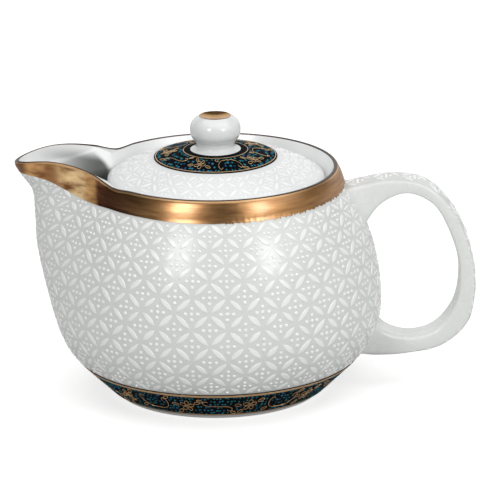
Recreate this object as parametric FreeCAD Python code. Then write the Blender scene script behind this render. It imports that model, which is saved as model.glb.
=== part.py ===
import FreeCAD, Part
import math
import os

from FreeCAD import Vector

# A porcelain teapot: a round vessel with a lip spout, a loop handle and a foot ring, a sunk lid with a
# ball knob, and a mesh infuser that hangs in the mouth. Gold and dark enamel are fired on as thin layers.
# The axis of the vessel is Z, the table is Z = 0, the spout points to -X and the handle to +X.
# All lengths are in millimetres and all angles in degrees.

# Mouth of the vessel: a seat for the lid and the infuser, inside a collar that leans out downwards
RIM_Z = 84.7
SEAT_RADIUS = 40.6
SEAT_DEPTH = 5.7
MOUTH_FLARE = 2.8
RIM_WIDTH = 1.4
COLLAR_DEPTH = 6.5
COLLAR_LEAN = 2.4
LEDGE_WIDTH = 5.0
LEDGE_THICKNESS = 3.0
LEDGE_FLARE = 4.0

# Vessel below the mouth: belly, tapered zone for the dark band, and foot
BELLY_RADIUS = 60.5
BELLY_Z = 34.0
FOOT_RADIUS = 41.0
FOOT_LEAN = 1.0
FOOT_HEIGHT = 2.4
FOOT_RING_WIDTH = 4.5
BAND_SPREAD = 10.2
BAND_HEIGHT = 11.3
WALL = 3.2
FLOOR = 3.6

# Spout: the wall is drawn out to a lip over a sector of the vessel, with a trough inside that notches the
# lid seat. Each row is the drop below the mouth, how far the keel stands out from the vessel there, the wall
# that the trough leaves at the keel, and the angular half width of the trough.
SPOUT_SECTOR = 55.0
SPOUT_WIDTH_LOW = 30.0
SPOUT_WIDTH_RIM = 17.2
SPOUT_ROWS = [(60.0, 0.0, 3.8, 14.0), (56.0, 0.3, 3.7, 14.0), (50.0, 1.5, 3.6, 14.0),
              (40.0, 4.6, 3.4, 14.0), (28.0, 9.3, 3.2, 14.0), (16.0, 14.4, 3.0, 13.5),
              (9.0, 18.7, 2.9, 12.0), (5.0, 22.6, 2.6, 11.0), (2.0, 26.2, 2.1, 13.0),
              (-1.0, 28.9, 1.7, 16.0), (-4.0, 29.9, 1.6, 17.2), (-8.0, 30.2, 1.6, 17.6)]
SPOUT_FALL = 1.5

# Lip: each row is a distance from the axis and how far the rim rises there above the mouth.
LIP_RISE = [(26.0, 0.0), (31.0, 0.0), (36.5, -0.4), (46.0, 3.4), (60.0, 5.6), (74.0, 3.0), (80.0, 1.2)]

# Handle: side outlines. Each row is a distance beyond the belly, and a height above the shoulder in the upper
# rows, above the top of the dark band in the lower rows. The lower edge ends in the vessel just under the top
# of that band.
HANDLE_WIDTH = 13.0
HANDLE_EDGE = 2.0
HANDLE_OUTER_UPPER = [(-20.5, -2.8), (-8.5, 0.2), (4.5, 2.2), (16.5, 0.1), (26.9, -10.2), (33.4, -25.7)]
HANDLE_OUTER_LOWER = [(35.1, 24.8), (31.8, 10.3), (23.0, 2.5), (9.5, -0.7)]
HANDLE_ROOT_DEPTH = 2.2
HANDLE_ROOT_DROP = 1.1
HANDLE_INNER_UPPER = [(-8.5, -24.2), (-4.5, -13.2), (0.5, -7.0), (9.5, -3.2), (18.5, -6.8), (25.4, -18.2)]
HANDLE_INNER_LOWER = [(29.0, 30.3), (26.3, 16.3), (18.5, 7.7), (10.0, 5.8), (2.0, 8.2), (-4.5, 15.3)]

# Infuser of sheet steel and woven mesh
FLANGE_THICKNESS = 0.8
FLANGE_CLEARANCE = 0.4
CUP_CLEARANCE = 1.0
SHEET = 0.6
COLLAR_HEIGHT = 6.0
CUP_DEPTH = 43.0
CUP_TAPER = 2.4
BASE_BAND_HEIGHT = 3.0
SEAM_WIDTH = 3.0
SEAM_THICKNESS = 0.4

# Lid
LID_CLEARANCE = 0.6
LID_EDGE = 1.4
LID_RISE = 10.6
LID_WALL = 3.0
BEZEL_CLEARANCE = 0.6
BEZEL_WALL = 2.6
BEZEL_DEPTH = 5.5

# Knob, as heights above the top of the lid
KNOB_BASE_RADIUS = 9.4
KNOB_BASE_HEIGHT = 0.6
KNOB_NECK_RADIUS = 7.5
KNOB_NECK_HEIGHT = 1.9
KNOB_HOLLOW = 0.5
KNOB_RADIUS = 9.3
KNOB_MIDDLE_HEIGHT = 7.2
KNOB_HEIGHT = 12.4
DISH_RADIUS = 5.8
DISH_DEPTH = 1.2

# Fired layers, each a little clear of what lies under it
LAYER = 0.25
LAYER_GAP = 0.02
LINE_WIDTH = 0.9
LINE_HEIGHT = 0.12
LID_BAND_GAP = 1.2
LID_BAND_WIDTH = 12.1
LID_LINE_INSET = 0.5
FOOT_LINE_INSET = 0.4
# Lower edge of the gold on the spout: distance from the axis, and height above the shoulder.
LIP_GOLD = [(26.0, 0.0), (31.0, 0.0), (50.0, -0.6), (58.0, 2.4), (66.0, 4.0), (80.0, 4.4)]

# Heights and radii that follow from the sizes above
RIM_INNER_RADIUS = SEAT_RADIUS + MOUTH_FLARE
RIM_RADIUS = RIM_INNER_RADIUS + RIM_WIDTH
SHOULDER_RADIUS = RIM_RADIUS + COLLAR_LEAN
SHOULDER_Z = RIM_Z - COLLAR_DEPTH
LEDGE_RADIUS = SEAT_RADIUS - LEDGE_WIDTH
FOOT_TOP_RADIUS = FOOT_RADIUS + FOOT_LEAN
BAND_TOP_RADIUS = FOOT_TOP_RADIUS + BAND_SPREAD
BAND_TOP_Z = FOOT_HEIGHT + BAND_HEIGHT
BAND_LENGTH = math.hypot(BAND_SPREAD, BAND_HEIGHT)
SPOUT_BASE_Z = RIM_Z - SPOUT_ROWS[0][0]
SEAT_Z = RIM_Z - SEAT_DEPTH
FLANGE_TOP_Z = SEAT_Z + FLANGE_THICKNESS
COLLAR_RADIUS = LEDGE_RADIUS - CUP_CLEARANCE
BEZEL_RADIUS = COLLAR_RADIUS - SHEET - BEZEL_CLEARANCE
LID_RADIUS = SEAT_RADIUS - LID_CLEARANCE
LID_EDGE_Z = FLANGE_TOP_Z + LID_EDGE
LID_TOP_Z = LID_EDGE_Z + LID_RISE
LID_DOME = (LID_RADIUS ** 2 + LID_RISE ** 2) / (2 * LID_RISE)
LID_CENTRE_Z = LID_TOP_Z - LID_DOME
LID_BAND_INNER_RADIUS = KNOB_BASE_RADIUS + LID_BAND_GAP
LID_BAND_OUTER_RADIUS = LID_BAND_INNER_RADIUS + LID_BAND_WIDTH
LINE_LOW = 2 * LAYER_GAP + LAYER
LINE_HIGH = LINE_LOW + LINE_HEIGHT

# Working sizes: how far cutting bodies reach past what they cut, and the points along a section of the spout
REACH = 200.0
CUT_CORE = LEDGE_RADIUS / 2
HALF_POINTS = 8
POINT_CROWDING = 1.4


def at(radius, z):
    return Vector(radius, 0, z)


def line(a, b):
    return Part.makeLine(a, b)


def arc(a, middle, b):
    return Part.Arc(a, middle, b).toShape()


def curve(points, tangents=None):
    """A smooth curve through points, with its end directions where they are given."""
    spline = Part.BSplineCurve()
    if tangents:
        spline.interpolate(Points=points, InitialTangent=tangents[0], FinalTangent=tangents[1])
    else:
        spline.interpolate(points)
    return spline.toShape()


def outline(*corners):
    """Straight edges from corner to corner, closed."""
    return [line(a, b) for a, b in zip(corners, corners[1:] + corners[:1])]


def lathe(edges):
    """A closed profile in the XZ plane, turned about the axis."""
    face = Part.Face(Part.Wire(edges))
    return face.revolve(Vector(0, 0, 0), Vector(0, 0, 1), 360)


def ring(inner, outer, low, high):
    return lathe(outline(at(inner, low), at(outer, low), at(outer, high), at(inner, high)))


# The belly is two arcs that are upright where they meet.
def belly_arc(end_radius, end_z):
    """Radius of the arc from the belly to a point."""
    inward, along = BELLY_RADIUS - end_radius, end_z - BELLY_Z
    return (inward ** 2 + along ** 2) / (2 * inward)


LOWER_ARC = belly_arc(BAND_TOP_RADIUS, BAND_TOP_Z)
UPPER_ARC = belly_arc(SHOULDER_RADIUS, SHOULDER_Z)


def belly_radius(z, inset=0.0):
    bend = LOWER_ARC if z < BELLY_Z else UPPER_ARC
    return BELLY_RADIUS - bend + math.sqrt((bend - inset) ** 2 - (z - BELLY_Z) ** 2)


def blend(a, b, share):
    return a + (b - a) * share


def wall_radius(z):
    """Outside radius of the round vessel at a height."""
    if z < BAND_TOP_Z:
        return blend(FOOT_TOP_RADIUS, BAND_TOP_RADIUS, (z - FOOT_HEIGHT) / BAND_HEIGHT)
    if z < SHOULDER_Z:
        return belly_radius(z)
    return blend(SHOULDER_RADIUS, RIM_RADIUS, min(1.0, (z - SHOULDER_Z) / COLLAR_DEPTH))


def belly_edges(inset, start, start_z, end_z):
    """The two arcs of the belly, at a depth in the wall, from a start point to a height."""
    middle = at(BELLY_RADIUS - inset, BELLY_Z)
    low_z, high_z = blend(start_z, BELLY_Z, 0.5), blend(BELLY_Z, end_z, 0.5)
    end = at(belly_radius(end_z, inset), end_z)
    return [arc(start, at(belly_radius(low_z, inset), low_z), middle),
            arc(middle, at(belly_radius(high_z, inset), high_z), end)]


def band_normal():
    """Outward direction of the tapered zone above the foot."""
    return Vector(BAND_HEIGHT / BAND_LENGTH, 0, -BAND_SPREAD / BAND_LENGTH)


def vessel_filled():
    """The outside of the vessel as one lump, which cuts the handle and the spout to fit."""
    start = at(BAND_TOP_RADIUS, BAND_TOP_Z)
    edges = [line(at(0, FOOT_HEIGHT), at(FOOT_TOP_RADIUS, FOOT_HEIGHT)),
             line(at(FOOT_TOP_RADIUS, FOOT_HEIGHT), start)]
    edges += belly_edges(0.0, start, BAND_TOP_Z, SHOULDER_Z)
    edges += [line(at(SHOULDER_RADIUS, SHOULDER_Z), at(RIM_RADIUS, RIM_Z)),
              line(at(RIM_RADIUS, RIM_Z), at(0, RIM_Z)),
              line(at(0, RIM_Z), at(0, FOOT_HEIGHT))]
    return lathe(edges)


def vessel_cavity():
    """The inside of the vessel with its lid seat, open upwards past the rim."""
    floor_z = FOOT_HEIGHT + FLOOR
    taper = at(FOOT_TOP_RADIUS, FOOT_HEIGHT) - band_normal() * WALL
    floor_corner = at(taper.x + (floor_z - taper.z) * BAND_SPREAD / BAND_HEIGHT, floor_z)
    arc_share = (LOWER_ARC - WALL) / LOWER_ARC
    start_z = blend(BELLY_Z, BAND_TOP_Z, arc_share)
    start = at(belly_radius(start_z, WALL), start_z)
    ledge_z = SEAT_Z - LEDGE_THICKNESS
    flare_z = ledge_z - LEDGE_FLARE
    top = RIM_Z + REACH
    edges = [line(at(0, floor_z), floor_corner), line(floor_corner, start)]
    edges += belly_edges(WALL, start, start_z, flare_z)
    corners = [at(belly_radius(flare_z, WALL), flare_z), at(LEDGE_RADIUS, ledge_z), at(LEDGE_RADIUS, SEAT_Z),
               at(SEAT_RADIUS, SEAT_Z), at(RIM_INNER_RADIUS, RIM_Z), at(RIM_INNER_RADIUS, top), at(0, top),
               at(0, floor_z)]
    edges += [line(a, b) for a, b in zip(corners, corners[1:])]
    return lathe(edges)


def foot_ring():
    inner = FOOT_TOP_RADIUS - FOOT_RING_WIDTH
    return lathe(outline(at(inner, 0), at(FOOT_RADIUS, 0), at(FOOT_TOP_RADIUS, FOOT_HEIGHT),
                         at(inner, FOOT_HEIGHT)))


# Spout. Angles are measured from -X, and a section lies flat at one height.
def fall_off(angle, width):
    """1 on the keel, falling away to both sides."""
    return (1 + (angle / width) ** 2) ** -SPOUT_FALL


def bump(angle, width):
    """The fall-off, eased to 0 at the edges of the sector."""
    window = (1 - (angle / SPOUT_SECTOR) ** 2) ** 2
    return window * fall_off(angle, width)


def spout_width(z):
    share = min(1.0, (z - SPOUT_BASE_Z) / (RIM_Z - SPOUT_BASE_Z))
    return blend(SPOUT_WIDTH_LOW, SPOUT_WIDTH_RIM, share)


def spout_radius(angle, z, out):
    return wall_radius(z) + out * bump(angle, spout_width(z))


def slant(radius_at, angle):
    """How much longer a radial step is than the same step square to the surface."""
    step = 0.5
    rate = (radius_at(angle + step) - radius_at(angle - step)) / math.radians(2 * step)
    return math.hypot(1, rate / radius_at(angle))


def around(radius, angle, z):
    turn = math.radians(angle)
    return Vector(-radius * math.cos(turn), -radius * math.sin(turn), z)


def spread():
    """Angles across the sector, closer together near the keel."""
    steps = range(-HALF_POINTS, HALF_POINTS + 1)
    return [SPOUT_SECTOR * math.copysign((abs(i) / HALF_POINTS) ** POINT_CROWDING, i) for i in steps]


def sector_section(points, z):
    """A flat section of the sector: a curve across its outside, closed inside what is cut away later."""
    core_end, core_start = around(CUT_CORE, SPOUT_SECTOR, z), around(CUT_CORE, -SPOUT_SECTOR, z)
    along = [Vector(-p.y, p.x, 0) for p in (points[0], points[-1])]
    return Part.Wire([curve(points, along), line(points[-1], core_end), line(core_end, core_start),
                      line(core_start, points[0])])


def spout_sector(offset=0.0):
    """The whole sector of the vessel with its spout, as one lump, at an offset from the real surface."""
    sections = []
    for drop, out, _, _ in SPOUT_ROWS:
        z = RIM_Z - drop

        def radius_at(angle):
            return spout_radius(angle, z, out)

        points = [around(radius_at(a) + offset * slant(radius_at, a), a, z) for a in spread()]
        sections.append(sector_section(points, z))
    return Part.makeLoft(sections, True, False)


def sector_wedge():
    """The part of the vessel that the spout piece takes the place of."""
    far = REACH * math.tan(math.radians(SPOUT_SECTOR))
    base = [Vector(0, 0, SPOUT_BASE_Z), Vector(-REACH, -far, SPOUT_BASE_Z), Vector(-REACH, far, SPOUT_BASE_Z)]
    return Part.Face(Part.Wire(outline(*base))).extrude(Vector(0, 0, REACH))


def trough():
    """The channel in the spout, from inside the vessel up past the lip."""
    sections = []
    for drop, out, wall, width in SPOUT_ROWS:
        z = RIM_Z - drop
        depth = wall_radius(z) + out - wall - COLLAR_RADIUS
        points = [around(COLLAR_RADIUS + depth * fall_off(a, width), a, z) for a in spread()]
        sections.append(sector_section(points, z))
    return Part.makeLoft(sections, True, False)


def above(rows, base_z, lift=0.0):
    """Everything above a curve that is drawn on the side of the spout, and above its level ends."""
    side_y = -REACH / 2

    def on_side(x, z):
        return Vector(-x, side_y, z)

    points = [on_side(x, base_z + rise + lift) for x, rise in rows]
    top = base_z + REACH
    start, end = points[0], points[-1]
    corners = [end, on_side(REACH, end.z), on_side(REACH, top), on_side(0, top), on_side(0, start.z), start]
    edges = [curve(points)] + [line(a, b) for a, b in zip(corners, corners[1:])]
    return Part.Face(Part.Wire(edges)).extrude(Vector(0, REACH, 0))


def spout_lip(cavity, channel):
    return spout_sector().cut(cavity).cut(channel).cut(above(LIP_RISE, RIM_Z))


def handle_loop(vessel):
    """The strap of the handle, cut to the vessel at its roots and clear of the dark band."""
    half = HANDLE_WIDTH / 2

    def side(upper, lower):
        rows = [(x, SHOULDER_Z + z) for x, z in upper] + [(x, BAND_TOP_Z + z) for x, z in lower]
        return [Vector(BELLY_RADIUS + x, -half, z) for x, z in rows]

    root = Vector(BAND_TOP_RADIUS - HANDLE_ROOT_DEPTH, -half, BAND_TOP_Z - HANDLE_ROOT_DROP)
    outer = side(HANDLE_OUTER_UPPER, HANDLE_OUTER_LOWER) + [root]
    inner = side(HANDLE_INNER_UPPER, HANDLE_INNER_LOWER)
    edges = [curve(outer), line(outer[-1], inner[-1]), curve(inner), line(inner[0], outer[0])]
    strap = Part.Face(Part.Wire(edges)).extrude(Vector(0, HANDLE_WIDTH, 0))
    around_sides = [edge for edge in strap.Edges if edge.Curve.TypeId == "Part::GeomBSplineCurve"]
    fired = taper_layer(0.0, BAND_LENGTH, 0.0, LINE_HIGH + LAYER_GAP)
    return strap.makeFillet(HANDLE_EDGE, around_sides).cut(vessel).cut(fired)


# Fired gold and enamel
def collar_gold():
    """Gold over the collar and the top of the rim, all the way round."""
    out = Vector(COLLAR_DEPTH, 0, COLLAR_LEAN).normalize()

    def corner(lift):
        low = at(SHOULDER_RADIUS, SHOULDER_Z) + out * lift
        top_z = RIM_Z + lift
        edge_radius = low.x - COLLAR_LEAN * (top_z - low.z) / COLLAR_DEPTH
        return low, at(edge_radius, top_z), at(RIM_INNER_RADIUS, top_z)

    low, edge, inner = corner(LAYER_GAP)
    outer_low, outer_edge, outer_inner = corner(LAYER_GAP + LAYER)
    return lathe(outline(low, outer_low, outer_edge, outer_inner, inner, edge))


def lip_gold(cavity, channel):
    """Gold on the outside of the spout and over its rim."""
    thick = LAYER_GAP + LAYER
    zone = spout_sector(thick).common(above(LIP_GOLD, SHOULDER_Z)).cut(above(LIP_RISE, RIM_Z, thick))
    inside = spout_sector(LAYER_GAP).cut(above(LIP_RISE, RIM_Z, LAYER_GAP))
    return zone.cut([inside, cavity, channel])


def taper_layer(start, end, low, high):
    """A layer on the tapered zone above the foot, between two distances along it and two heights off it."""
    foot = at(FOOT_TOP_RADIUS, FOOT_HEIGHT)
    along = (at(BAND_TOP_RADIUS, BAND_TOP_Z) - foot).normalize()
    normal = band_normal()
    return lathe(outline(foot + along * start + normal * low, foot + along * start + normal * high,
                         foot + along * end + normal * high, foot + along * end + normal * low))


def foot_enamel():
    return taper_layer(0.0, BAND_LENGTH, LAYER_GAP, LAYER_GAP + LAYER)


def foot_lines():
    far = BAND_LENGTH - FOOT_LINE_INSET
    lower = taper_layer(FOOT_LINE_INSET, FOOT_LINE_INSET + LINE_WIDTH, LINE_LOW, LINE_HIGH)
    upper = taper_layer(far - LINE_WIDTH, far, LINE_LOW, LINE_HIGH)
    return Part.Compound([lower, upper])


# Lid
def dome_point(radius, lift=0.0):
    return at(radius, LID_CENTRE_Z + math.sqrt((LID_DOME + lift) ** 2 - radius ** 2))


def dome_arc(start, end, lift=0.0):
    return arc(dome_point(start, lift), dome_point(blend(start, end, 0.5), lift), dome_point(end, lift))


def dome_layer(inner, outer, low, high):
    """A layer on the lid between two radii and two heights off the dome."""
    return lathe([dome_arc(inner, outer, low), line(dome_point(outer, low), dome_point(outer, high)),
                  dome_arc(outer, inner, high), line(dome_point(inner, high), dome_point(inner, low))])


def lid_dome():
    inner = BEZEL_RADIUS - BEZEL_WALL
    under = at(inner, FLANGE_TOP_Z)
    edge = at(LID_RADIUS, FLANGE_TOP_Z)
    return lathe([dome_arc(0, LID_RADIUS), line(dome_point(LID_RADIUS), edge), line(edge, under),
                  line(under, dome_point(inner, -LID_WALL)), dome_arc(inner, 0, -LID_WALL),
                  line(dome_point(0, -LID_WALL), dome_point(0))])


def lid_bezel():
    return ring(BEZEL_RADIUS - BEZEL_WALL, BEZEL_RADIUS, FLANGE_TOP_Z - BEZEL_DEPTH, FLANGE_TOP_Z)


def lid_enamel():
    return dome_layer(LID_BAND_INNER_RADIUS, LID_BAND_OUTER_RADIUS, LAYER_GAP, LAYER_GAP + LAYER)


def lid_lines():
    inner = LID_BAND_INNER_RADIUS + LID_LINE_INSET
    outer = LID_BAND_OUTER_RADIUS - LID_LINE_INSET
    return Part.Compound([dome_layer(inner, inner + LINE_WIDTH, LINE_LOW, LINE_HIGH),
                          dome_layer(outer - LINE_WIDTH, outer, LINE_LOW, LINE_HIGH)])


def knob_z(height):
    return LID_TOP_Z + height


def lid_knob():
    base = dome_point(KNOB_BASE_RADIUS)
    flare = at(KNOB_BASE_RADIUS, knob_z(KNOB_BASE_HEIGHT) - (LID_TOP_Z - base.z))
    neck = at(KNOB_NECK_RADIUS, knob_z(KNOB_NECK_HEIGHT))
    middle = at(KNOB_RADIUS, knob_z(KNOB_MIDDLE_HEIGHT))
    dish_edge = at(DISH_RADIUS, knob_z(KNOB_HEIGHT))
    dish = at(0, knob_z(KNOB_HEIGHT - DISH_DEPTH))
    waist = (flare + neck) * 0.5 - at(KNOB_HOLLOW, 0)
    return lathe([dome_arc(0, KNOB_BASE_RADIUS), line(base, flare), arc(flare, waist, neck),
                  arc(neck, middle, dish_edge), line(dish_edge, dish), line(dish, dome_point(0))])


def knob_gold():
    """Gold in the hollow of the knob, which is a shallow cone."""
    edge, centre = at(DISH_RADIUS, knob_z(KNOB_HEIGHT)), at(0, knob_z(KNOB_HEIGHT - DISH_DEPTH))
    low, high = Vector(0, 0, LAYER_GAP), Vector(0, 0, LAYER_GAP + LAYER)
    return lathe(outline(centre + low, edge + low, edge + high, centre + high))


# Infuser
def infuser_flange():
    return ring(COLLAR_RADIUS - SHEET, SEAT_RADIUS - FLANGE_CLEARANCE, SEAT_Z, FLANGE_TOP_Z)


def infuser_collar():
    return ring(COLLAR_RADIUS - SHEET, COLLAR_RADIUS, SEAT_Z - COLLAR_HEIGHT, SEAT_Z)


def cup_radius(z):
    """Outside of the mesh cup, which narrows downwards."""
    top, bottom = SEAT_Z - COLLAR_HEIGHT, SEAT_Z - CUP_DEPTH
    return COLLAR_RADIUS - CUP_TAPER * (top - z) / (top - bottom)


def cup_band(low, high, inset, thickness):
    """A tapered band of the cup between two heights, at a depth from its outside."""
    a, b = cup_radius(low) - inset, cup_radius(high) - inset
    return lathe(outline(at(a - thickness, low), at(a, low), at(b, high), at(b - thickness, high)))


def infuser_wall():
    return cup_band(SEAT_Z - CUP_DEPTH + BASE_BAND_HEIGHT, SEAT_Z - COLLAR_HEIGHT, 0.0, SHEET)


def infuser_base_band():
    return cup_band(SEAT_Z - CUP_DEPTH, SEAT_Z - CUP_DEPTH + BASE_BAND_HEIGHT, 0.0, SHEET)


def infuser_floor():
    low = SEAT_Z - CUP_DEPTH
    return lathe(outline(at(0, low), at(cup_radius(low) - SHEET, low),
                         at(cup_radius(low + SHEET) - SHEET, low + SHEET), at(0, low + SHEET)))


def infuser_seam():
    """The lap seam of the mesh, a strip down the outside of the cup on the handle side."""
    low, high = SEAT_Z - CUP_DEPTH + BASE_BAND_HEIGHT, SEAT_Z - COLLAR_HEIGHT
    half = SEAM_WIDTH / 2
    strip = Part.makeBox(REACH, SEAM_WIDTH, high - low, Vector(0, -half, low))
    return cup_band(low, high, -SEAM_THICKNESS, SEAM_THICKNESS).common(strip)


def build():
    vessel, cavity, channel, wedge = vessel_filled(), vessel_cavity(), trough(), sector_wedge()
    return {
        "pot_shell": vessel.cut([cavity, wedge]),
        "spout_lip": spout_lip(cavity, channel),
        "foot_ring": foot_ring(),
        "handle_loop": handle_loop(vessel),
        "mouth_gold_band": collar_gold().cut(wedge),
        "spout_gold_band": lip_gold(cavity, channel),
        "foot_enamel_band": foot_enamel(),
        "foot_gold_lines": foot_lines(),
        "infuser_flange": infuser_flange(),
        "infuser_collar": infuser_collar(),
        "infuser_mesh_wall": infuser_wall(),
        "infuser_base_band": infuser_base_band(),
        "infuser_mesh_floor": infuser_floor(),
        "infuser_seam": infuser_seam(),
        "lid_dome": lid_dome(),
        "lid_bezel": lid_bezel(),
        "lid_enamel_band": lid_enamel(),
        "lid_gold_lines": lid_lines(),
        "lid_knob": lid_knob(),
        "knob_gold_dish": knob_gold(),
    }


os.makedirs("parts", exist_ok=True)
for name, shape in build().items():
    print(f"{name}: {len(shape.Solids)} solid, {shape.Volume:.1f} mm3, valid {shape.isValid()}")
    shape.exportStep(f"parts/{name}.step")
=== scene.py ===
# %% [markdown]
# # A white porcelain teapot with gold and dark enamel
# The teapot is a slip-cast vessel with a drawn-out lip spout, a loop handle and a foot. Its wall carries a
# low relief of interlocking circles. The mouth is gilded, and two dark enamel bands, at the foot and round
# the knob, hold rows of raised blue dots and gold line work. A steel infuser hangs in the mouth, and the
# lid rests on it.
#
# The solid model gives the true sizes. It is loaded first and never moved, and every piece below is made in
# the same frame, in metres, with Z up, the spout towards -X and the handle towards +X.

import bisect
import math
import random

import bmesh
import bpy
import numpy as np
from mathutils import Matrix, Vector, kdtree


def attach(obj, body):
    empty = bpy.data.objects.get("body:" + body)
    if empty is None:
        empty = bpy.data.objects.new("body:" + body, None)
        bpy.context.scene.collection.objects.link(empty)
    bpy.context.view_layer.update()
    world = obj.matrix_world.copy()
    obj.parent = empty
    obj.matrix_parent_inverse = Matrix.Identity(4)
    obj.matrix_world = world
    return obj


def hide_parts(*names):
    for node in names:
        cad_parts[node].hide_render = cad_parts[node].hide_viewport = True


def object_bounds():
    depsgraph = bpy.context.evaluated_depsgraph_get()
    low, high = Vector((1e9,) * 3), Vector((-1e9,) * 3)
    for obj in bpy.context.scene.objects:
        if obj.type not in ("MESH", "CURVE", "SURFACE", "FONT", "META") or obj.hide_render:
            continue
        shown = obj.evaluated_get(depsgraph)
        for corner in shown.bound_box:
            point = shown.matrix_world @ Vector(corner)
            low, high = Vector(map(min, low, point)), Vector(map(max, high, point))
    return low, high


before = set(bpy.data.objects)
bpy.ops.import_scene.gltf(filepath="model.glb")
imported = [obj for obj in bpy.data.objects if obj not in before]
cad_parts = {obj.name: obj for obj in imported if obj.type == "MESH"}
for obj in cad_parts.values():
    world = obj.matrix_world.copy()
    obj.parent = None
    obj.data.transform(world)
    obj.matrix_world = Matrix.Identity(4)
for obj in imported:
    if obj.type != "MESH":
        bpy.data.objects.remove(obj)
cad_low, cad_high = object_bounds()
MM = 0.001
cad_size = [round(side / MM, 1) for side in cad_high - cad_low]
print("solid model:", len(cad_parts), "nodes, size in mm", cad_size)

# %% [markdown]
# ## Camera
# The photograph is taken from the front with a long lens, a little above the pot, and the picture leans by
# less than a degree. A camera that looks along +Y from far away, with a long focal length, gives the same
# flat perspective. Its aim is beside the axis, because the handle and the spout together are centred there.

# %% Camera
CAMERA_AIM = Vector((12.04 * MM, 0, 52.3 * MM))
CAMERA_DISTANCE = 1.75
CAMERA_ELEVATION = math.radians(17.4)
CAMERA_ROLL = math.radians(0.7)
CAMERA_LENS = 340.2

back = Vector((0, -math.cos(CAMERA_ELEVATION), math.sin(CAMERA_ELEVATION)))
camera = bpy.data.objects.new("camera", bpy.data.cameras.new("camera"))
camera.data.lens = CAMERA_LENS
camera.data.clip_start = 0.1
camera.location = CAMERA_AIM + back * CAMERA_DISTANCE
camera.rotation_mode = "QUATERNION"
level = (-back).to_track_quat("-Z", "Y")
camera.rotation_quaternion = level @ Matrix.Rotation(-CAMERA_ROLL, 3, "Z").to_quaternion()
bpy.context.scene.collection.objects.link(camera)
bpy.context.scene.camera = camera
bpy.context.scene.view_settings.view_transform = "Standard"
print("camera at", [round(c, 3) for c in camera.location])

# %% [markdown]
# ## Helpers for objects and shaders
# The table, the room and every finish are built from shader nodes. A node is added together with its
# inputs, where an input is a value or another node's output, and each helper hands on the output that the
# next one needs.

# %% Object and shader helpers
WHITE = (1, 1, 1, 1)
PLAIN_SPECULAR = 0.5


def add_object(name, data):
    made = bpy.data.objects.new(name, data)
    bpy.context.scene.collection.objects.link(made)
    return made


def template(name, bm):
    """A mesh of a bmesh, which is freed."""
    mesh = bpy.data.meshes.new(name)
    bm.to_mesh(mesh)
    bm.free()
    return mesh


def shading(name):
    """A new material, with its tree and its main shader."""
    material = bpy.data.materials.new(name)
    material.use_nodes = True
    tree = material.node_tree
    return material, tree, tree.nodes["Principled BSDF"]


def give(tree, socket, value):
    """Gives an input a value, or links it where the value is another node's output."""
    if isinstance(value, bpy.types.NodeSocket):
        tree.links.new(value, socket)
    else:
        socket.default_value = value


def set_inputs(tree, node, **inputs):
    for name, value in inputs.items():
        give(tree, node.inputs[name.replace("_", " ")], value)
    return node


def add_node(tree, kind, **inputs):
    return set_inputs(tree, tree.nodes.new(kind), **inputs)


def reckoned(tree, operation, *values):
    """The outcome of an operation on up to three values or outputs."""
    node = tree.nodes.new("ShaderNodeMath")
    node.operation = operation
    for socket, value in zip(node.inputs, values):
        give(tree, socket, value)
    return node.outputs["Value"]


def product(tree, first, *others):
    for other in others:
        first = reckoned(tree, "MULTIPLY", first, other)
    return first


def mixed(tree, factor, low, high, kind="RGBA"):
    """Two colours, or two plain values where the kind is FLOAT, mixed by a factor."""
    node = tree.nodes.new("ShaderNodeMix")
    node.data_type = kind
    return set_inputs(tree, node, Factor=factor, A=low, B=high).outputs["Result"]


def mapped(tree, value, **limits):
    """A value that runs from To_Min to To_Max while another runs from From_Min to From_Max."""
    return add_node(tree, "ShaderNodeMapRange", Value=value, **limits).outputs["Result"]


def reach_between(tree, value, limits):
    """0 where a value is at the first limit, 1 where it is at the second, and an eased rise between."""
    node = add_node(tree, "ShaderNodeMapRange", Value=value, From_Min=limits[0], From_Max=limits[1])
    node.interpolation_type = "SMOOTHSTEP"
    return node.outputs["Result"]


def axes(tree, kind="Object"):
    """X, Y and Z of a point of a piece, or of a direction in the room where the kind is Generated."""
    place = add_node(tree, "ShaderNodeTexCoord")
    return add_node(tree, "ShaderNodeSeparateXYZ", Vector=place.outputs[kind]).outputs


def object_noise(tree, scale, detail=3.0, stretch=(1, 1, 1)):
    """Noise in the piece's own place, stretched along the axes."""
    place = add_node(tree, "ShaderNodeTexCoord")
    mapping = add_node(tree, "ShaderNodeMapping", Vector=place.outputs["Object"], Scale=stretch)
    noise = add_node(tree, "ShaderNodeTexNoise", Vector=mapping.outputs["Vector"], Scale=scale, Detail=detail)
    return noise.outputs["Fac"]


def drift(tree, factor, low, high, socket):
    """Drives a socket between two values, or two colours, by a factor."""
    if isinstance(low, tuple):
        give(tree, socket, mixed(tree, factor, (*low, 1), (*high, 1)))
    else:
        give(tree, socket, mapped(tree, factor, To_Min=low, To_Max=high))


def tint(tree, shader, factor, colour):
    """Draws a shader's colour towards another one where a factor is high."""
    base = shader.inputs["Base Color"]
    give(tree, base, mixed(tree, factor, base.links[0].from_socket, (*colour, 1)))


def roughen(tree, shader, factor, height):
    """A bump of that real height, in metres."""
    bump = add_node(tree, "ShaderNodeBump", Height=factor, Strength=1.0, Distance=height)
    give(tree, shader.inputs["Normal"], bump.outputs["Normal"])


# %% [markdown]
# ## Studio
# Two soft lamps stand to the left and right of the camera: their reflections are the two bright patches on
# the wall and the two sparks on the knob. A third lamp stands higher up on the right, and a wide soft light
# overhead lights the lid and the table. The room is white at the horizon and behind the pot, and dim
# elsewhere, and dimmer still in a mirror, so that the gold has something dark to show between the lamps.
# The table is seen as white by the camera, but is only half as bright to the light that it throws back up
# on the pot.

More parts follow.
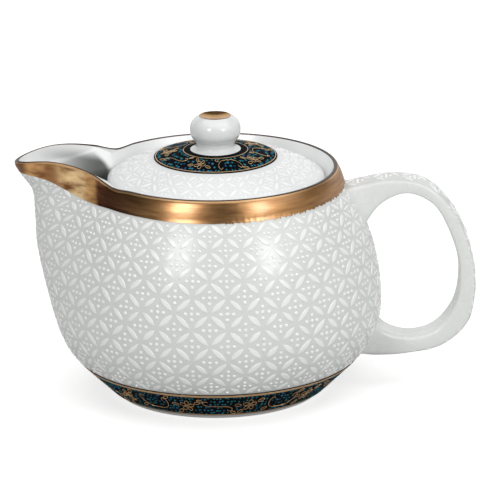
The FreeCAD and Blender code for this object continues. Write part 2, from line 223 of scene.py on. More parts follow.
# %% Table, lamps and room
def soft_lamp(name, azimuth, elevation, distance, width, height, power):
    """A rectangular lamp that faces the pot. Azimuth 0 is the camera's side, and grows to the right."""
    turn, lift = math.radians(azimuth), math.radians(elevation)
    toward = Vector((math.sin(turn) * math.cos(lift), -math.cos(turn) * math.cos(lift), math.sin(lift)))
    lamp = add_object(name, bpy.data.lights.new(name, "AREA"))
    lamp.data.shape = "RECTANGLE"
    lamp.data.size = width
    lamp.data.size_y = height
    lamp.data.energy = power
    lamp.location = CAMERA_AIM + toward * distance
    lamp.rotation_mode = "QUATERNION"
    lamp.rotation_quaternion = (-toward).to_track_quat("-Z", "Y")


TABLE_SIZE = 30.0
TABLE_LOW, TABLE_HIGH = (0.55, 0.55, 0.55), (0.56, 0.56, 0.557)
TABLE_GLOW = 0.68
TABLE_MIRRORED = 0.15
bm = bmesh.new()
bmesh.ops.create_grid(bm, x_segments=1, y_segments=1, size=TABLE_SIZE / 2)
table = add_object("table", template("table", bm))
table_white, tree, shader = shading("table_white")
drift(tree, object_noise(tree, scale=40.0), TABLE_LOW, TABLE_HIGH, shader.inputs["Base Color"])
rays = add_node(tree, "ShaderNodeLightPath").outputs
seen = reckoned(tree, "MULTIPLY_ADD", rays["Is Glossy Ray"], TABLE_MIRRORED, rays["Is Camera Ray"])
set_inputs(tree, shader, Roughness=0.9, Specular_IOR_Level=0.1, Emission_Color=WHITE,
           Emission_Strength=product(tree, seen, TABLE_GLOW))
table.data.materials.append(table_white)

soft_lamp("left_lamp", azimuth=-31, elevation=29, distance=1.3, width=0.36, height=0.48, power=4.6)
soft_lamp("right_lamp", azimuth=41, elevation=26, distance=1.3, width=0.28, height=0.36, power=3.4)
soft_lamp("high_lamp", azimuth=62, elevation=42, distance=1.4, width=1.1, height=1.1, power=4.2)
overhead = add_object("overhead_light", bpy.data.lights.new("overhead_light", "SUN"))
overhead.data.energy = 1.2
overhead.data.angle = math.radians(75)

ROOM_WHITE = 0.9
ROOM_DIM = 0.20
ROOM_MIRRORED = 0.035
# Heights between which the horizon's white ends, and how far that rises over a range of Y, behind the pot
HORIZON_LOW, HORIZON_HIGH = 0.05, 0.13
BACKDROP_NEAR, BACKDROP_FAR = 0.55, 0.75
BACKDROP_RISE = 0.45
room = bpy.data.worlds.new("room")
room.use_nodes = True
tree = room.node_tree
tree.nodes.clear()
toward = axes(tree, "Generated")
rays = add_node(tree, "ShaderNodeLightPath").outputs
risen = mapped(tree, toward["Y"], From_Min=BACKDROP_NEAR, From_Max=BACKDROP_FAR, To_Max=BACKDROP_RISE)
dim = mapped(tree, rays["Is Glossy Ray"], To_Min=ROOM_DIM, To_Max=ROOM_MIRRORED)
above = reckoned(tree, "SUBTRACT", toward["Z"], risen)
fade = mapped(tree, above, From_Min=HORIZON_LOW, From_Max=HORIZON_HIGH, To_Min=ROOM_WHITE, To_Max=dim)
sky = add_node(tree, "ShaderNodeBackground", Color=WHITE, Strength=fade)
add_node(tree, "ShaderNodeOutputWorld", Surface=sky.outputs["Background"])
bpy.context.scene.world = room

# %% [markdown]
# ## Finishes
# Porcelain glaze is never quite even: it pools a little, so its colour, its gloss and its surface all drift
# by a small amount. One function makes every porcelain finish from a colour and a gloss. Noise on Object
# coordinates gives the drift, because the pieces sit at the origin and the pattern then stays with the pot.
# The glaze inside is painted greyer deep in the spout's trough, as painted shade where little light reaches.

# %% Porcelain finishes
GLAZE_COAT = 0.25


def porcelain(name, low, high, gloss, ripple=0.03 * MM):
    """Glazed porcelain between two colours. gloss is the pair of roughness values that it drifts between, and
    ripple the height of its uneven surface."""
    material, tree, shader = shading(name)
    drift(tree, object_noise(tree, scale=45.0), low, high, shader.inputs["Base Color"])
    drift(tree, object_noise(tree, scale=160.0, detail=4.0), *gloss, shader.inputs["Roughness"])
    roughen(tree, shader, object_noise(tree, scale=420.0, detail=4.0), ripple)
    set_inputs(tree, shader, Coat_Weight=GLAZE_COAT, Coat_Roughness=0.15)
    return material


# Painted shade: a dark grey, with less gloss, painted into the inside glaze deep in the trough
TROUGH_PAINTED_SHADE = (0.13, 0.136, 0.13)
TROUGH_PAINTED_SHADE_SPECULAR = 0.04
RIM_SLOPE = 0.235
# Where the painted shade begins and where it is full: Y over X at the sides of the trough, X along it, X at
# its inner end, and Z measured from a plane that slopes as the rim does
TROUGH_SIDES = (-math.tan(math.radians(22)), -math.tan(math.radians(19.5)))
TROUGH_ALONG = (-72 * MM, -43 * MM)
TROUGH_END = (-30 * MM, -34 * MM)
TROUGH_DEPTH = (76.8 * MM, 72.2 * MM)


def paint_trough_shade(material):
    """Paints shade into a glaze down in the spout's trough, towards the pot: dark grey colour and less gloss.
    """
    tree = material.node_tree
    shader = tree.nodes["Principled BSDF"]
    place = axes(tree)
    slope = reckoned(tree, "DIVIDE", reckoned(tree, "ABSOLUTE", place["Y"]), place["X"])
    below_rim = reckoned(tree, "MULTIPLY_ADD", place["X"], RIM_SLOPE, place["Z"])
    painted_trough_shade = product(tree, reach_between(tree, slope, TROUGH_SIDES),
                   reach_between(tree, place["X"], TROUGH_ALONG),
                   reach_between(tree, below_rim, TROUGH_DEPTH),
                   reach_between(tree, place["X"], TROUGH_END))
    tint(tree, shader, painted_trough_shade, TROUGH_PAINTED_SHADE)
    drift(tree, painted_trough_shade, PLAIN_SPECULAR, TROUGH_PAINTED_SHADE_SPECULAR, shader.inputs["Specular IOR Level"])
    drift(tree, painted_trough_shade, GLAZE_COAT, 0.0, shader.inputs["Coat Weight"])


wall_glaze = porcelain("wall_glaze", (0.668, 0.690, 0.670), (0.715, 0.732, 0.712), (0.26, 0.38))
relief_glaze = porcelain("relief_glaze", (0.845, 0.86, 0.848), (0.90, 0.91, 0.90), (0.26, 0.38))
dot_glaze = porcelain("dot_glaze", (0.91, 0.915, 0.908), (0.95, 0.95, 0.945), (0.20, 0.32))
inside_glaze = porcelain("inside_glaze", (0.89, 0.90, 0.895), (0.93, 0.935, 0.93), (0.20, 0.30))
# Painted shade deep in the trough of the inside glaze
paint_trough_shade(inside_glaze)
lid_glaze = porcelain("lid_glaze", (0.785, 0.805, 0.803), (0.815, 0.830, 0.828), (0.30, 0.42))
lid_relief_glaze = porcelain("lid_relief_glaze", (0.93, 0.935, 0.93), (0.96, 0.962, 0.957), (0.30, 0.42))
handle_glaze = porcelain("handle_glaze", (0.765, 0.782, 0.765), (0.795, 0.808, 0.793), (0.22, 0.32),
                         ripple=0.015 * MM)
knob_glaze = porcelain("knob_glaze", (0.765, 0.79, 0.785), (0.795, 0.815, 0.81), (0.10, 0.16))
foot_clay = porcelain("foot_clay", (0.89, 0.895, 0.885), (0.94, 0.945, 0.935), (0.55, 0.75),
                      ripple=0.06 * MM)
print("porcelain finishes:", [m.name for m in bpy.data.materials if "glaze" in m.name])

# %% [markdown]
# Fired gold keeps the strokes of the brush that laid it on: fine streaks that run round the pot, thinner
# and browner in places. Noise that is squeezed along Z makes streaks that lie level on any wall of the pot.
# On the lip the gold is blotched instead. A painted sheen lightens the middle of the lip, and painted shade,
# standing for dark reflections, darkens its tip, a fold and the collar where the lip joins it.

# %% Gold finishes
GOLD_METAL = 0.97
GOLD_COAT = 0.25
LIP_METAL = 0.55
LIP_COAT = 0.05
LIP_SPECULAR = 0.2
HANDLE_SIDE_DULLER = 0.12
# Painted sheen for the middle of the lip, and painted shade for dark reflections at its tip, fold and collar
PAINTED_SHEEN_COLOUR = (1.0, 0.74, 0.40)
PAINTED_SHADE_COLOUR = (0.20, 0.08, 0.025)
COLLAR_PAINTED_SHADE_COLOUR = (0.14, 0.044, 0.012)
BLOTCHES = (0.30, 0.70)
# Values of X where a tone begins and where it is full, from one side or from both
LIP = (-36 * MM, -48 * MM)
HANDLE_SIDE = (4 * MM, 24 * MM)
# Spans of the painted sheen, and of the painted shade at the lip's fold, its tip and the collar
LIP_PAINTED_SHEEN = ((-61.0 * MM, -54.0 * MM), (-46.2 * MM, -49.2 * MM))
LIP_FOLD_PAINTED_SHADE = ((-65.5 * MM, -61.0 * MM), (-56.0 * MM, -60.0 * MM))
LIP_TIP_PAINTED_SHADE = (-68.0 * MM, -71.5 * MM)
COLLAR_PAINTED_SHADE_SPAN = ((-44.4 * MM, -42.4 * MM), (-23.0 * MM, -40.0 * MM))


def reach_from_both(tree, value, both):
    return product(tree, reach_between(tree, value, both[0]), reach_between(tree, value, both[1]))


def fired_gold(name, thin, full, streak_scale, gloss, ripple, mottle=0.0, metal=GOLD_METAL, coat=GOLD_COAT):
    """Gold between a thin and a full colour, with streaks of the height ripple. mottle is the height of the
    blotches on the lip: such gold is duller on the handle's side, and gets painted sheen and painted shade."""
    material, tree, shader = shading(name)
    roughness = shader.inputs["Roughness"]
    set_inputs(tree, shader, Metallic=metal, Coat_Weight=coat, Coat_IOR=2.2, Coat_Roughness=0.22)
    drift(tree, object_noise(tree, scale=300.0, detail=4.0, stretch=(1, 1, 6)), *gloss, roughness)
    streaks = object_noise(tree, streak_scale, detail=6.0, stretch=(1, 1, 12))
    height = object_noise(tree, scale=260.0, detail=6.0, stretch=(1, 1, 4))
    if mottle:
        x = axes(tree)["X"]
        on_lip = reach_between(tree, x, LIP)
        strokes = object_noise(tree, scale=190.0, detail=4.0, stretch=(0.6, 0.6, 1.3))
        blotches = reach_between(tree, strokes, BLOTCHES)
        streaks = mixed(tree, on_lip, streaks, blotches, "FLOAT")
        height = reckoned(tree, "MULTIPLY_ADD", product(tree, blotches, on_lip), mottle / ripple, height)
        drift(tree, on_lip, metal, LIP_METAL, shader.inputs["Metallic"])
        drift(tree, on_lip, coat, LIP_COAT, shader.inputs["Coat Weight"])
        drift(tree, on_lip, PLAIN_SPECULAR, LIP_SPECULAR, shader.inputs["Specular IOR Level"])
        even = roughness.links[0].from_socket
        duller = reach_between(tree, x, HANDLE_SIDE)
        give(tree, roughness, reckoned(tree, "MULTIPLY_ADD", duller, HANDLE_SIDE_DULLER, even))
    drift(tree, streaks, thin, full, shader.inputs["Base Color"])
    if mottle:
        # Painted sheen in the lip's middle, and painted shade at its tip, its fold and on the collar
        painted_sheen = product(tree, reach_from_both(tree, x, LIP_PAINTED_SHEEN), blotches)
        fold = product(tree, reach_from_both(tree, x, LIP_FOLD_PAINTED_SHADE), streaks)
        shade = reckoned(tree, "MAXIMUM", fold, reach_between(tree, x, LIP_TIP_PAINTED_SHADE))
        tint(tree, shader, reach_from_both(tree, x, COLLAR_PAINTED_SHADE_SPAN), COLLAR_PAINTED_SHADE_COLOUR)
        tint(tree, shader, painted_sheen, PAINTED_SHEEN_COLOUR)
        tint(tree, shader, shade, PAINTED_SHADE_COLOUR)
    roughen(tree, shader, height, ripple)
    return material


mouth_gold = fired_gold("mouth_gold", (0.20, 0.07, 0.018), (0.80, 0.445, 0.18), streak_scale=70.0,
                        gloss=(0.24, 0.38), ripple=0.06 * MM, mottle=0.4 * MM)
# A very dark gold for the rim's top, as painted shade
rim_gold_painted_shade = fired_gold("rim_gold_painted_shade", (0.03, 0.013, 0.006), (0.10, 0.046, 0.02), streak_scale=200.0,
                      gloss=(0.35, 0.5), ripple=0.03 * MM)
dish_gold = fired_gold("dish_gold", (0.34, 0.155, 0.035), (0.74, 0.42, 0.135), streak_scale=120.0,
                       gloss=(0.16, 0.24), ripple=0.02 * MM, coat=0.0)
# Gold of the line work, also the lighter gold of the painted highlight on the mouth's edge
line_gold_and_painted_highlight = fired_gold("line_gold_and_painted_highlight", (0.48, 0.27, 0.11), (0.95, 0.62, 0.32), streak_scale=200.0,
                       gloss=(0.35, 0.5), ripple=0.05 * MM)
# A brighter, less metallic copy of the line gold for the lid's lines, brightened as painted highlight
lid_line_gold_painted_highlight = fired_gold("lid_line_gold_painted_highlight", (0.60, 0.38, 0.17), (1.0, 0.72, 0.42), streak_scale=200.0,
                           gloss=(0.35, 0.5), ripple=0.05 * MM, metal=0.6)
print("gold finishes:", [m.name for m in bpy.data.materials if "gold" in m.name])

# %% [markdown]
# The dark ground of the bands is a nearly black blue enamel. The dots on it are drops of coloured glass:
# each one is a little bluer or greener than its neighbours, so the colour comes from noise that is coarser
# than a dot.

# %% Enamel finishes
GROUND_DARK, GROUND_LIGHT = (0.0012, 0.0014, 0.0020), (0.004, 0.006, 0.008)
DROP_BLUE = (0.012, 0.060, 0.220, 1)
DROP_TURQUOISE = (0.015, 0.220, 0.310, 1)
DROP_GREEN = (0.012, 0.165, 0.125, 1)


def enamel_ground(name):
    material, tree, shader = shading(name)
    drift(tree, object_noise(tree, scale=220.0), GROUND_DARK, GROUND_LIGHT, shader.inputs["Base Color"])
    drift(tree, object_noise(tree, scale=500.0), 0.45, 0.60, shader.inputs["Roughness"])
    roughen(tree, shader, object_noise(tree, scale=900.0), 0.04 * MM)
    set_inputs(tree, shader, Specular_IOR_Level=0.012)
    return material


def enamel_drops(name):
    material, tree, shader = shading(name)
    shades = add_node(tree, "ShaderNodeValToRGB", Fac=object_noise(tree, scale=420.0, detail=2.0))
    stops = shades.color_ramp.elements
    stops[0].position = 0.30
    stops[0].color = DROP_BLUE
    stops[1].position = 0.70
    stops[1].color = DROP_GREEN
    stops.new(0.5).color = DROP_TURQUOISE
    drift(tree, object_noise(tree, scale=700.0, detail=2.0), 0.16, 0.30, shader.inputs["Roughness"])
    roughen(tree, shader, object_noise(tree, scale=900.0, detail=2.0), 0.02 * MM)
    set_inputs(tree, shader, Base_Color=shades.outputs["Color"], Specular_IOR_Level=0.08)
    return material


dark_enamel = enamel_ground("enamel_ground")
blue_drops = enamel_drops("enamel_drops")
print("enamel finishes:", dark_enamel.name, blue_drops.name)

# %% [markdown]
# The infuser is drawn from thin stainless sheet with faint turning marks, and its cup is woven from wire.

# %% Steel finishes
def steel(name, low, high, gloss, stretch):
    material, tree, shader = shading(name)
    marks = object_noise(tree, scale=240.0, detail=5.0, stretch=stretch)
    drift(tree, marks, low, high, shader.inputs["Base Color"])
    drift(tree, marks, *gloss, shader.inputs["Roughness"])
    roughen(tree, shader, marks, 0.02 * MM)
    set_inputs(tree, shader, Metallic=1.0)
    return material


sheet_steel = steel("sheet_steel", (0.55, 0.55, 0.54), (0.68, 0.68, 0.67), (0.20, 0.36), (1, 1, 20))
wire_steel = steel("wire_steel", (0.50, 0.50, 0.49), (0.64, 0.64, 0.63), (0.25, 0.40), (1, 1, 1))
print("steel finishes:", sheet_steel.name, wire_steel.name)

# %% [markdown]
# ## Turned shapes
# Most of the pot is round, so most pieces are a profile that is spun about Z. A profile is a list of
# corners, each with the radius that rounds it off. After a full turn the first and last ring are merged,
# points on the axis become one, and the normals are made to point outwards.

# %% Profile and lathe helpers
ROUNDING_STEPS = 4
TURN_STEPS = 192
SHARP_EDGE = math.radians(38)


def polar(radius, angle, z):
    """A point at a radius and an angle about Z."""
    return Vector((radius * math.cos(angle), radius * math.sin(angle), z))


def at_radius(point, moved, z):
    """A point on the same side of the axis as another, at its own radius and height."""
    radius = math.hypot(point.x, point.y)
    return Vector((point.x / radius * moved, point.y / radius * moved, z))


def rounded(corners, closed=True):
    """Points (radius, z) along corners (radius, z, rounding), with an arc in place of each rounded corner."""
    points = []
    count = len(corners)
    for i, (x, z, rounding) in enumerate(corners):
        here = Vector((x, z))
        if rounding == 0 or (not closed and i in (0, count - 1)):
            points.append(here)
            continue
        before = Vector(corners[i - 1][:2]) - here
        after = Vector(corners[(i + 1) % count][:2]) - here
        half = before.angle(after) / 2
        middle = here + (before.normalized() + after.normalized()).normalized() * (rounding / math.sin(half))
        start = here + before.normalized() * (rounding / math.tan(half)) - middle
        end = here + after.normalized() * (rounding / math.tan(half)) - middle
        for step in range(ROUNDING_STEPS + 1):
            share = step / ROUNDING_STEPS
            points.append(middle + start.normalized().slerp(end.normalized(), share) * rounding)
    return points


def spun(points, closed=True, steps=TURN_STEPS, skins=None):
    """A bmesh of a profile turned about Z. skins gives each point a value, kept in the layer named skin."""
    bm = bmesh.new()
    skin = bm.verts.layers.float.new("skin")
    verts = [bm.verts.new((p[0], 0, p[1])) for p in points]
    for vert, value in zip(verts, skins or [0.0] * len(verts)):
        vert[skin] = value
    pairs = list(zip(verts, verts[1:])) + ([(verts[-1], verts[0])] if closed else [])
    edges = [bm.edges.new(pair) for pair in pairs]
    bmesh.ops.spin(bm, geom=verts + edges, cent=(0, 0, 0), axis=(0, 0, 1), angle=2 * math.pi, steps=steps,
                   use_merge=True)
    tidy(bm)
    return bm


def everything(bm):
    return bm.verts[:] + bm.edges[:] + bm.faces[:]


def face_outwards(bm):
    bmesh.ops.recalc_face_normals(bm, faces=bm.faces[:])


def tidy(bm, distance=0.004 * MM):
    """Merges doubles and turns the faces outwards."""
    bmesh.ops.remove_doubles(bm, verts=bm.verts[:], dist=distance)
    face_outwards(bm)


def wires(name, lines, radius, resolution=1, closed=False):
    """One mesh of wires that follow lines of points."""
    curve = bpy.data.curves.new(name, "CURVE")
    curve.dimensions = "3D"
    curve.bevel_depth = radius
    curve.bevel_resolution = resolution
    curve.use_fill_caps = not closed
    for points in lines:
        spline = curve.splines.new("POLY")
        spline.points.add(len(points) - 1)
        spline.use_cyclic_u = closed
        for target, point in zip(spline.points, points):
            target.co = (*point, 1)
    drawn = bpy.data.objects.new(name, curve)
    mesh = bpy.data.meshes.new_from_object(drawn)
    bpy.data.objects.remove(drawn)
    bm = bmesh.new()
    bm.from_mesh(mesh)
    tidy(bm)
    return template(name, bm)


def piece(name, bm, material, body, slot, *nodes):
    """Makes an object of a bmesh: it rides on a body and stands for the named solids. slot is not used."""
    mesh = template(name, bm)
    mesh.shade_smooth()
    mesh.set_sharp_from_angle(angle=SHARP_EDGE)
    mesh.materials.append(material)
    made = add_object(name, mesh)
    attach(made, body)
    if nodes:
        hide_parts(*nodes)
    mesh.calc_loop_triangles()
    print(f"{name}: {len(mesh.loop_triangles)} triangles on {body}")
    return made


# %% [markdown]
# ## Vessel
# The wall is two arcs that meet at the belly, with a straight taper to the foot and a collar at the mouth.
# The spout is the same wall, drawn out over a sector of the pot. So the vessel is spun as a plain round pot
# first, and its vertices are then drawn out by the formulas that shape the spout: the keel stands out
# further the higher it is, and falls away to both sides. Inside, a trough is pressed into the wall and
# through the lid seat.

# %% Sizes of the vessel
RIM_Z = 84.7 * MM
RIM_INNER_RADIUS = 43.4 * MM
RIM_RADIUS = 44.8 * MM
COLLAR_DEPTH = 6.5 * MM
SHOULDER_RADIUS = 47.2 * MM
SHOULDER_Z = RIM_Z - COLLAR_DEPTH
SEAT_RADIUS = 40.6 * MM
SEAT_Z = 79.0 * MM
LEDGE_RADIUS = 35.6 * MM
LEDGE_THICKNESS = 3.0 * MM
LEDGE_FLARE = 4.0 * MM
BELLY_RADIUS = 60.5 * MM
BELLY_Z = 34.0 * MM
FOOT_RADIUS = 38.2 * MM
FOOT_TOP_RADIUS = 40.4 * MM
FOOT_HEIGHT = 2.0 * MM
FOOT_RING_WIDTH = 4.5 * MM
BAND_TOP_RADIUS = 52.2 * MM
BAND_TOP_Z = 13.7 * MM
WALL = 3.2 * MM
FLOOR = 4.0 * MM
CUP_RADIUS = 34.6 * MM

SPOUT_SECTOR = 55.0
SPOUT_WIDTH_LOW = 30.0
SPOUT_WIDTH_RIM = 17.2
SPOUT_BASE_Z = RIM_Z - 60.0 * MM
TROUGH_EASE = 1.2 * MM
FALL_OFF_POWER = -1.5
# Drop below the mouth, how far the keel stands out, wall left there, half width of the trough in degrees
SPOUT_ROWS = [(60.0, 0.0, 3.8, 14.0), (56.0, 0.3, 3.7, 14.0), (50.0, 1.5, 3.6, 15.0),
              (40.0, 4.6, 3.4, 17.0), (28.0, 9.3, 3.2, 17.0), (16.0, 14.4, 3.0, 17.0),
              (9.0, 18.7, 2.7, 17.0), (5.0, 22.6, 2.3, 16.5), (2.0, 26.1, 1.4, 18.0),
              (-1.0, 28.5, 1.2, 21.0), (-4.0, 29.3, 1.1, 24.0), (-8.0, 29.6, 1.1, 24.0)]
# Distance from the axis towards the spout, and how far the rim rises there
LIP_ROWS = [(26.0, 0.0), (31.0, 0.0), (36.5, -0.4), (46.0, 3.4), (60.0, 5.6), (74.0, 3.0), (80.0, 1.2)]
# The same for the lower edge of the gold, above the shoulder
LIP_GOLD_ROWS = [(26.0, -0.6), (31.0, -0.6), (34.0, -0.6), (38.0, -0.5), (43.0, -0.5),
                 (48.5, 0.1), (53.6, 1.8), (60.5, 5.0), (69.0, 6.1), (80.0, 6.5)]


def through(rows):
    """A smooth function through rows of (place, value), level beyond its ends."""
    places = [row[0] for row in rows]
    values = [row[1] for row in rows]
    slopes = list(np.gradient(values, places))

    def value_at(place):
        if place <= places[0]:
            return values[0]
        if place >= places[-1]:
            return values[-1]
        i = bisect.bisect_right(places, place) - 1
        step = places[i + 1] - places[i]
        rise = values[i + 1] - values[i]
        t = (place - places[i]) / step
        ease_in = slopes[i] * step - rise
        ease_out = rise - slopes[i + 1] * step
        return values[i] + t * rise + t * (1 - t) * ((1 - t) * ease_in + t * ease_out)

    return value_at


keel_out = through([(RIM_Z - row[0] * MM, row[1] * MM) for row in SPOUT_ROWS])
keel_wall = through([(RIM_Z - row[0] * MM, row[2] * MM) for row in SPOUT_ROWS])
trough_width = through([(RIM_Z - row[0] * MM, row[3]) for row in SPOUT_ROWS])
lip_rise = through([(out * MM, rise * MM) for out, rise in LIP_ROWS])
lip_gold_rise = through([(out * MM, rise * MM) for out, rise in LIP_GOLD_ROWS])
print("keel stands out at the mouth by", round(keel_out(RIM_Z) / MM, 1), "mm")

# %% Formulas of the wall
def blend(a, b, share):
    return a + (b - a) * share


def ramp(value, start, end):
    """0 before the start, 1 after the end, and an eased rise between."""
    share = max(0.0, min(1.0, (value - start) / (end - start)))
    return share * share * (3 - 2 * share)


def belly_arc(end_radius, end_z):
    """Radius of the arc from the belly to a point."""
    inward = BELLY_RADIUS - end_radius
    along = end_z - BELLY_Z
    return (inward ** 2 + along ** 2) / (2 * inward)


LOWER_ARC = belly_arc(BAND_TOP_RADIUS, BAND_TOP_Z)
UPPER_ARC = belly_arc(SHOULDER_RADIUS, SHOULDER_Z)


def belly_radius(z, inset=0.0):
    bend = LOWER_ARC if z < BELLY_Z else UPPER_ARC
    return BELLY_RADIUS - bend + math.sqrt((bend - inset) ** 2 - (z - BELLY_Z) ** 2)


def wall_radius(z):
    """Outside radius of the round vessel at a height."""
    if z < BAND_TOP_Z:
        return blend(FOOT_TOP_RADIUS, BAND_TOP_RADIUS, (z - FOOT_HEIGHT) / (BAND_TOP_Z - FOOT_HEIGHT))
    if z < SHOULDER_Z:
        return belly_radius(z)
    return blend(SHOULDER_RADIUS, RIM_RADIUS, min(1.0, (z - SHOULDER_Z) / COLLAR_DEPTH))


def fall_off(angle, width):
    """1 on the keel, falling away to both sides."""
    return (1 + (angle / width) ** 2) ** FALL_OFF_POWER


def outer_radius(angle, z):
    """Outside radius with the spout. The angle is in degrees from the keel."""
    radius = wall_radius(z)
    if abs(angle) < SPOUT_SECTOR and z > SPOUT_BASE_Z:
        share = min(1.0, (z - SPOUT_BASE_Z) / (RIM_Z - SPOUT_BASE_Z))
        window = (1 - (angle / SPOUT_SECTOR) ** 2) ** 2
        radius += keel_out(z) * window * fall_off(angle, blend(SPOUT_WIDTH_LOW, SPOUT_WIDTH_RIM, share))
    return radius


def trough_radius(angle, z):
    """Inside radius of the trough, or 0 away from it."""
    if abs(angle) >= SPOUT_SECTOR or z < SPOUT_BASE_Z:
        return 0.0
    depth = wall_radius(z) + keel_out(z) - keel_wall(z) - CUP_RADIUS
    pressed = CUP_RADIUS + depth * fall_off(angle, trough_width(z))
    behind_wall = outer_radius(angle, z) - keel_wall(z)
    return (pressed + behind_wall - math.hypot(pressed - behind_wall, TROUGH_EASE)) / 2


def inner_rim_radius(angle, z):
    return max(RIM_INNER_RADIUS, trough_radius(angle, z))


def keel_angle(point):
    """Degrees from the keel, positive towards +Y."""
    return math.degrees(math.atan2(point.y, -point.x))


LIFT_ROUNDS = 6


def rim_lift(angle, radius_at):
    """How far the rim is raised at an angle, where radius_at gives its radius. The radius depends on the
    lift in turn, so both are found by a few rounds."""
    lift = 0.0
    for _ in range(LIFT_ROUNDS):
        lift = lip_rise(radius_at(angle, RIM_Z + lift) * math.cos(math.radians(angle)))
    return lift


print("belly arcs in mm:", round(LOWER_ARC / MM, 1), round(UPPER_ARC / MM, 1))

# %% Drawing out the spout
SPOUT_MARGIN = 20.0


def draw_out(bm, low_edge, most_proud=0.0, rim_width=1.0):
    """Draws a round vessel's skin out to the spout. The layer skin is 0 outside, 1 inside and between on
    the rim. low_edge gives how far the lower edge of the collar is moved at a distance from the axis.
    most_proud is how far the skin may stand off the spout, and rim_width how much of the rim's top it
    covers, in metres."""
    skin = bm.verts.layers.float["skin"]
    for vert in bm.verts:
        angle = keel_angle(vert.co)
        radius = math.hypot(vert.co.x, vert.co.y)
        if abs(angle) >= SPOUT_SECTOR or vert.co.z < SPOUT_BASE_Z or radius < LEDGE_RADIUS / 2:
            continue
        z = vert.co.z
        share = min(1.0, max(0.0, (z - SHOULDER_Z) / COLLAR_DEPTH))
        outside_lift = rim_lift(angle, outer_radius)
        inside_lift = rim_lift(angle, inner_rim_radius)
        out = outer_radius(angle, z) * math.cos(math.radians(angle))
        outer_z = z + blend(low_edge(out), outside_lift, share)
        inner_z = z + inside_lift * share
        proud = radius - wall_radius(z)
        sideways = ramp(abs(angle), SPOUT_SECTOR - SPOUT_MARGIN, SPOUT_SECTOR)
        proud = blend(min(proud, most_proud), proud, sideways)
        outer = outer_radius(angle, outer_z) + proud
        inner = max(radius, trough_radius(angle, inner_z))
        if vert[skin] == 0.0:
            moved, z = outer, outer_z
        elif vert[skin] == 1.0:
            moved, z = inner, inner_z
        else:
            rim_outer = outer_radius(angle, RIM_Z + outside_lift)
            rim_inner = max(inner_rim_radius(angle, RIM_Z + inside_lift), rim_outer - rim_width)
            moved = blend(rim_outer, rim_inner, vert[skin])
            z += blend(outside_lift, inside_lift, vert[skin])
        vert.co = at_radius(vert.co, moved, z)


VESSEL_STEPS = 240
BELLY_ROWS = 44
COLLAR_ROWS = 6
RIM_POINTS = 4
SEAT_ROWS = 6
SEAM_MERGE = 0.02 * MM


def rows_between(low, high, count):
    """Even steps from low to high, both included."""
    return [blend(low, high, i / count) for i in range(count + 1)]


cavity_top = SEAT_Z - LEDGE_THICKNESS - LEDGE_FLARE
cavity_low = BAND_TOP_Z + WALL / 2
floor_z = FOOT_HEIGHT + FLOOR
outside = [(0.0, FOOT_HEIGHT), (FOOT_TOP_RADIUS - FOOT_RING_WIDTH, FOOT_HEIGHT),
           (FOOT_TOP_RADIUS, FOOT_HEIGHT)]
outside += [(wall_radius(z), z) for z in rows_between(BAND_TOP_Z, SHOULDER_Z, BELLY_ROWS)]
outside += [(wall_radius(z), z) for z in rows_between(SHOULDER_Z, RIM_Z, COLLAR_ROWS)[1:]]
rim_shares = rows_between(0.0, 1.0, RIM_POINTS + 1)[1:-1]
rim = [(blend(RIM_RADIUS, RIM_INNER_RADIUS, share), RIM_Z) for share in rim_shares]
inside = [(RIM_INNER_RADIUS, RIM_Z)]
for share in rows_between(0.0, 1.0, SEAT_ROWS)[1:]:
    inside.append((blend(RIM_INNER_RADIUS, SEAT_RADIUS, share), blend(RIM_Z, SEAT_Z, share)))
inside += [(LEDGE_RADIUS, SEAT_Z), (LEDGE_RADIUS, SEAT_Z - LEDGE_THICKNESS)]
inside += [(belly_radius(z, WALL), z) for z in rows_between(cavity_top, cavity_low, BELLY_ROWS)]
inside += [(FOOT_TOP_RADIUS - WALL, floor_z), (0.0, floor_z)]
skins = [0.0] * len(outside) + rim_shares + [1.0] * len(inside)
vessel_bm = spun(outside + rim + inside, closed=False, steps=VESSEL_STEPS, skins=skins)
draw_out(vessel_bm, low_edge=lambda out: 0.0)
tidy(vessel_bm, SEAM_MERGE)
skin = vessel_bm.verts.layers.float["skin"]
for face in vessel_bm.faces:
    face.material_index = int(all(vert[skin] == 1.0 for vert in face.verts))
vessel = piece("vessel", vessel_bm, wall_glaze, "pot", "porcelain", "pot_shell", "spout_lip")
vessel.data.materials.append(inside_glaze)

# %% [markdown]
# ## Gilded mouth
# The gold is a thin skin over the collar and the top of the rim, which widens along the spout. It is spun
# and drawn out exactly as the wall is, a fraction of a millimetre outside it, and given a thickness towards
# the wall. Its lower edge was painted by hand: it dips at the front and is ragged where the brush ran over
# the relief. The top of the rim is given a very dark gold as painted shade, and the rounded edge below it a
# lighter gold as a painted highlight.

# %% Mouth gold
GOLD_PROUD = 0.24 * MM
GOLD_BULGE = 0.28 * MM
GOLD_RIM = 1.38 * MM
GOLD_EDGE = 0.7 * MM
GOLD_EDGE_POINTS = 6
# Share of the edge's height above which it has the very dark gold of the rim's top, as painted shade
RIM_TOP_SHARE = 0.66
# Shares of the rim's top at which the skin has points, and how sharply it bends down at its end
GOLD_RIM_SHARES = [0.40, 0.55, 0.7, 0.9, 0.99]
GOLD_RIM_BEND = 12
GOLD_ROWS = 12
GOLD_THICKNESS = 0.20 * MM
GOLD_DIP = 0.9 * MM
GOLD_RAGGED = 0.60 * MM
RAGGED_FROM, RAGGED_FULL = 84, 106
# Waves that make up the ragged edge: their size, how close they are and where they begin
RAGGED_WAVES = [(1.0, 4.1, 0.0), (0.7, 2.3, 1.0), (0.5, 0.9, 0.0)]
GOLD_STEPS = 480


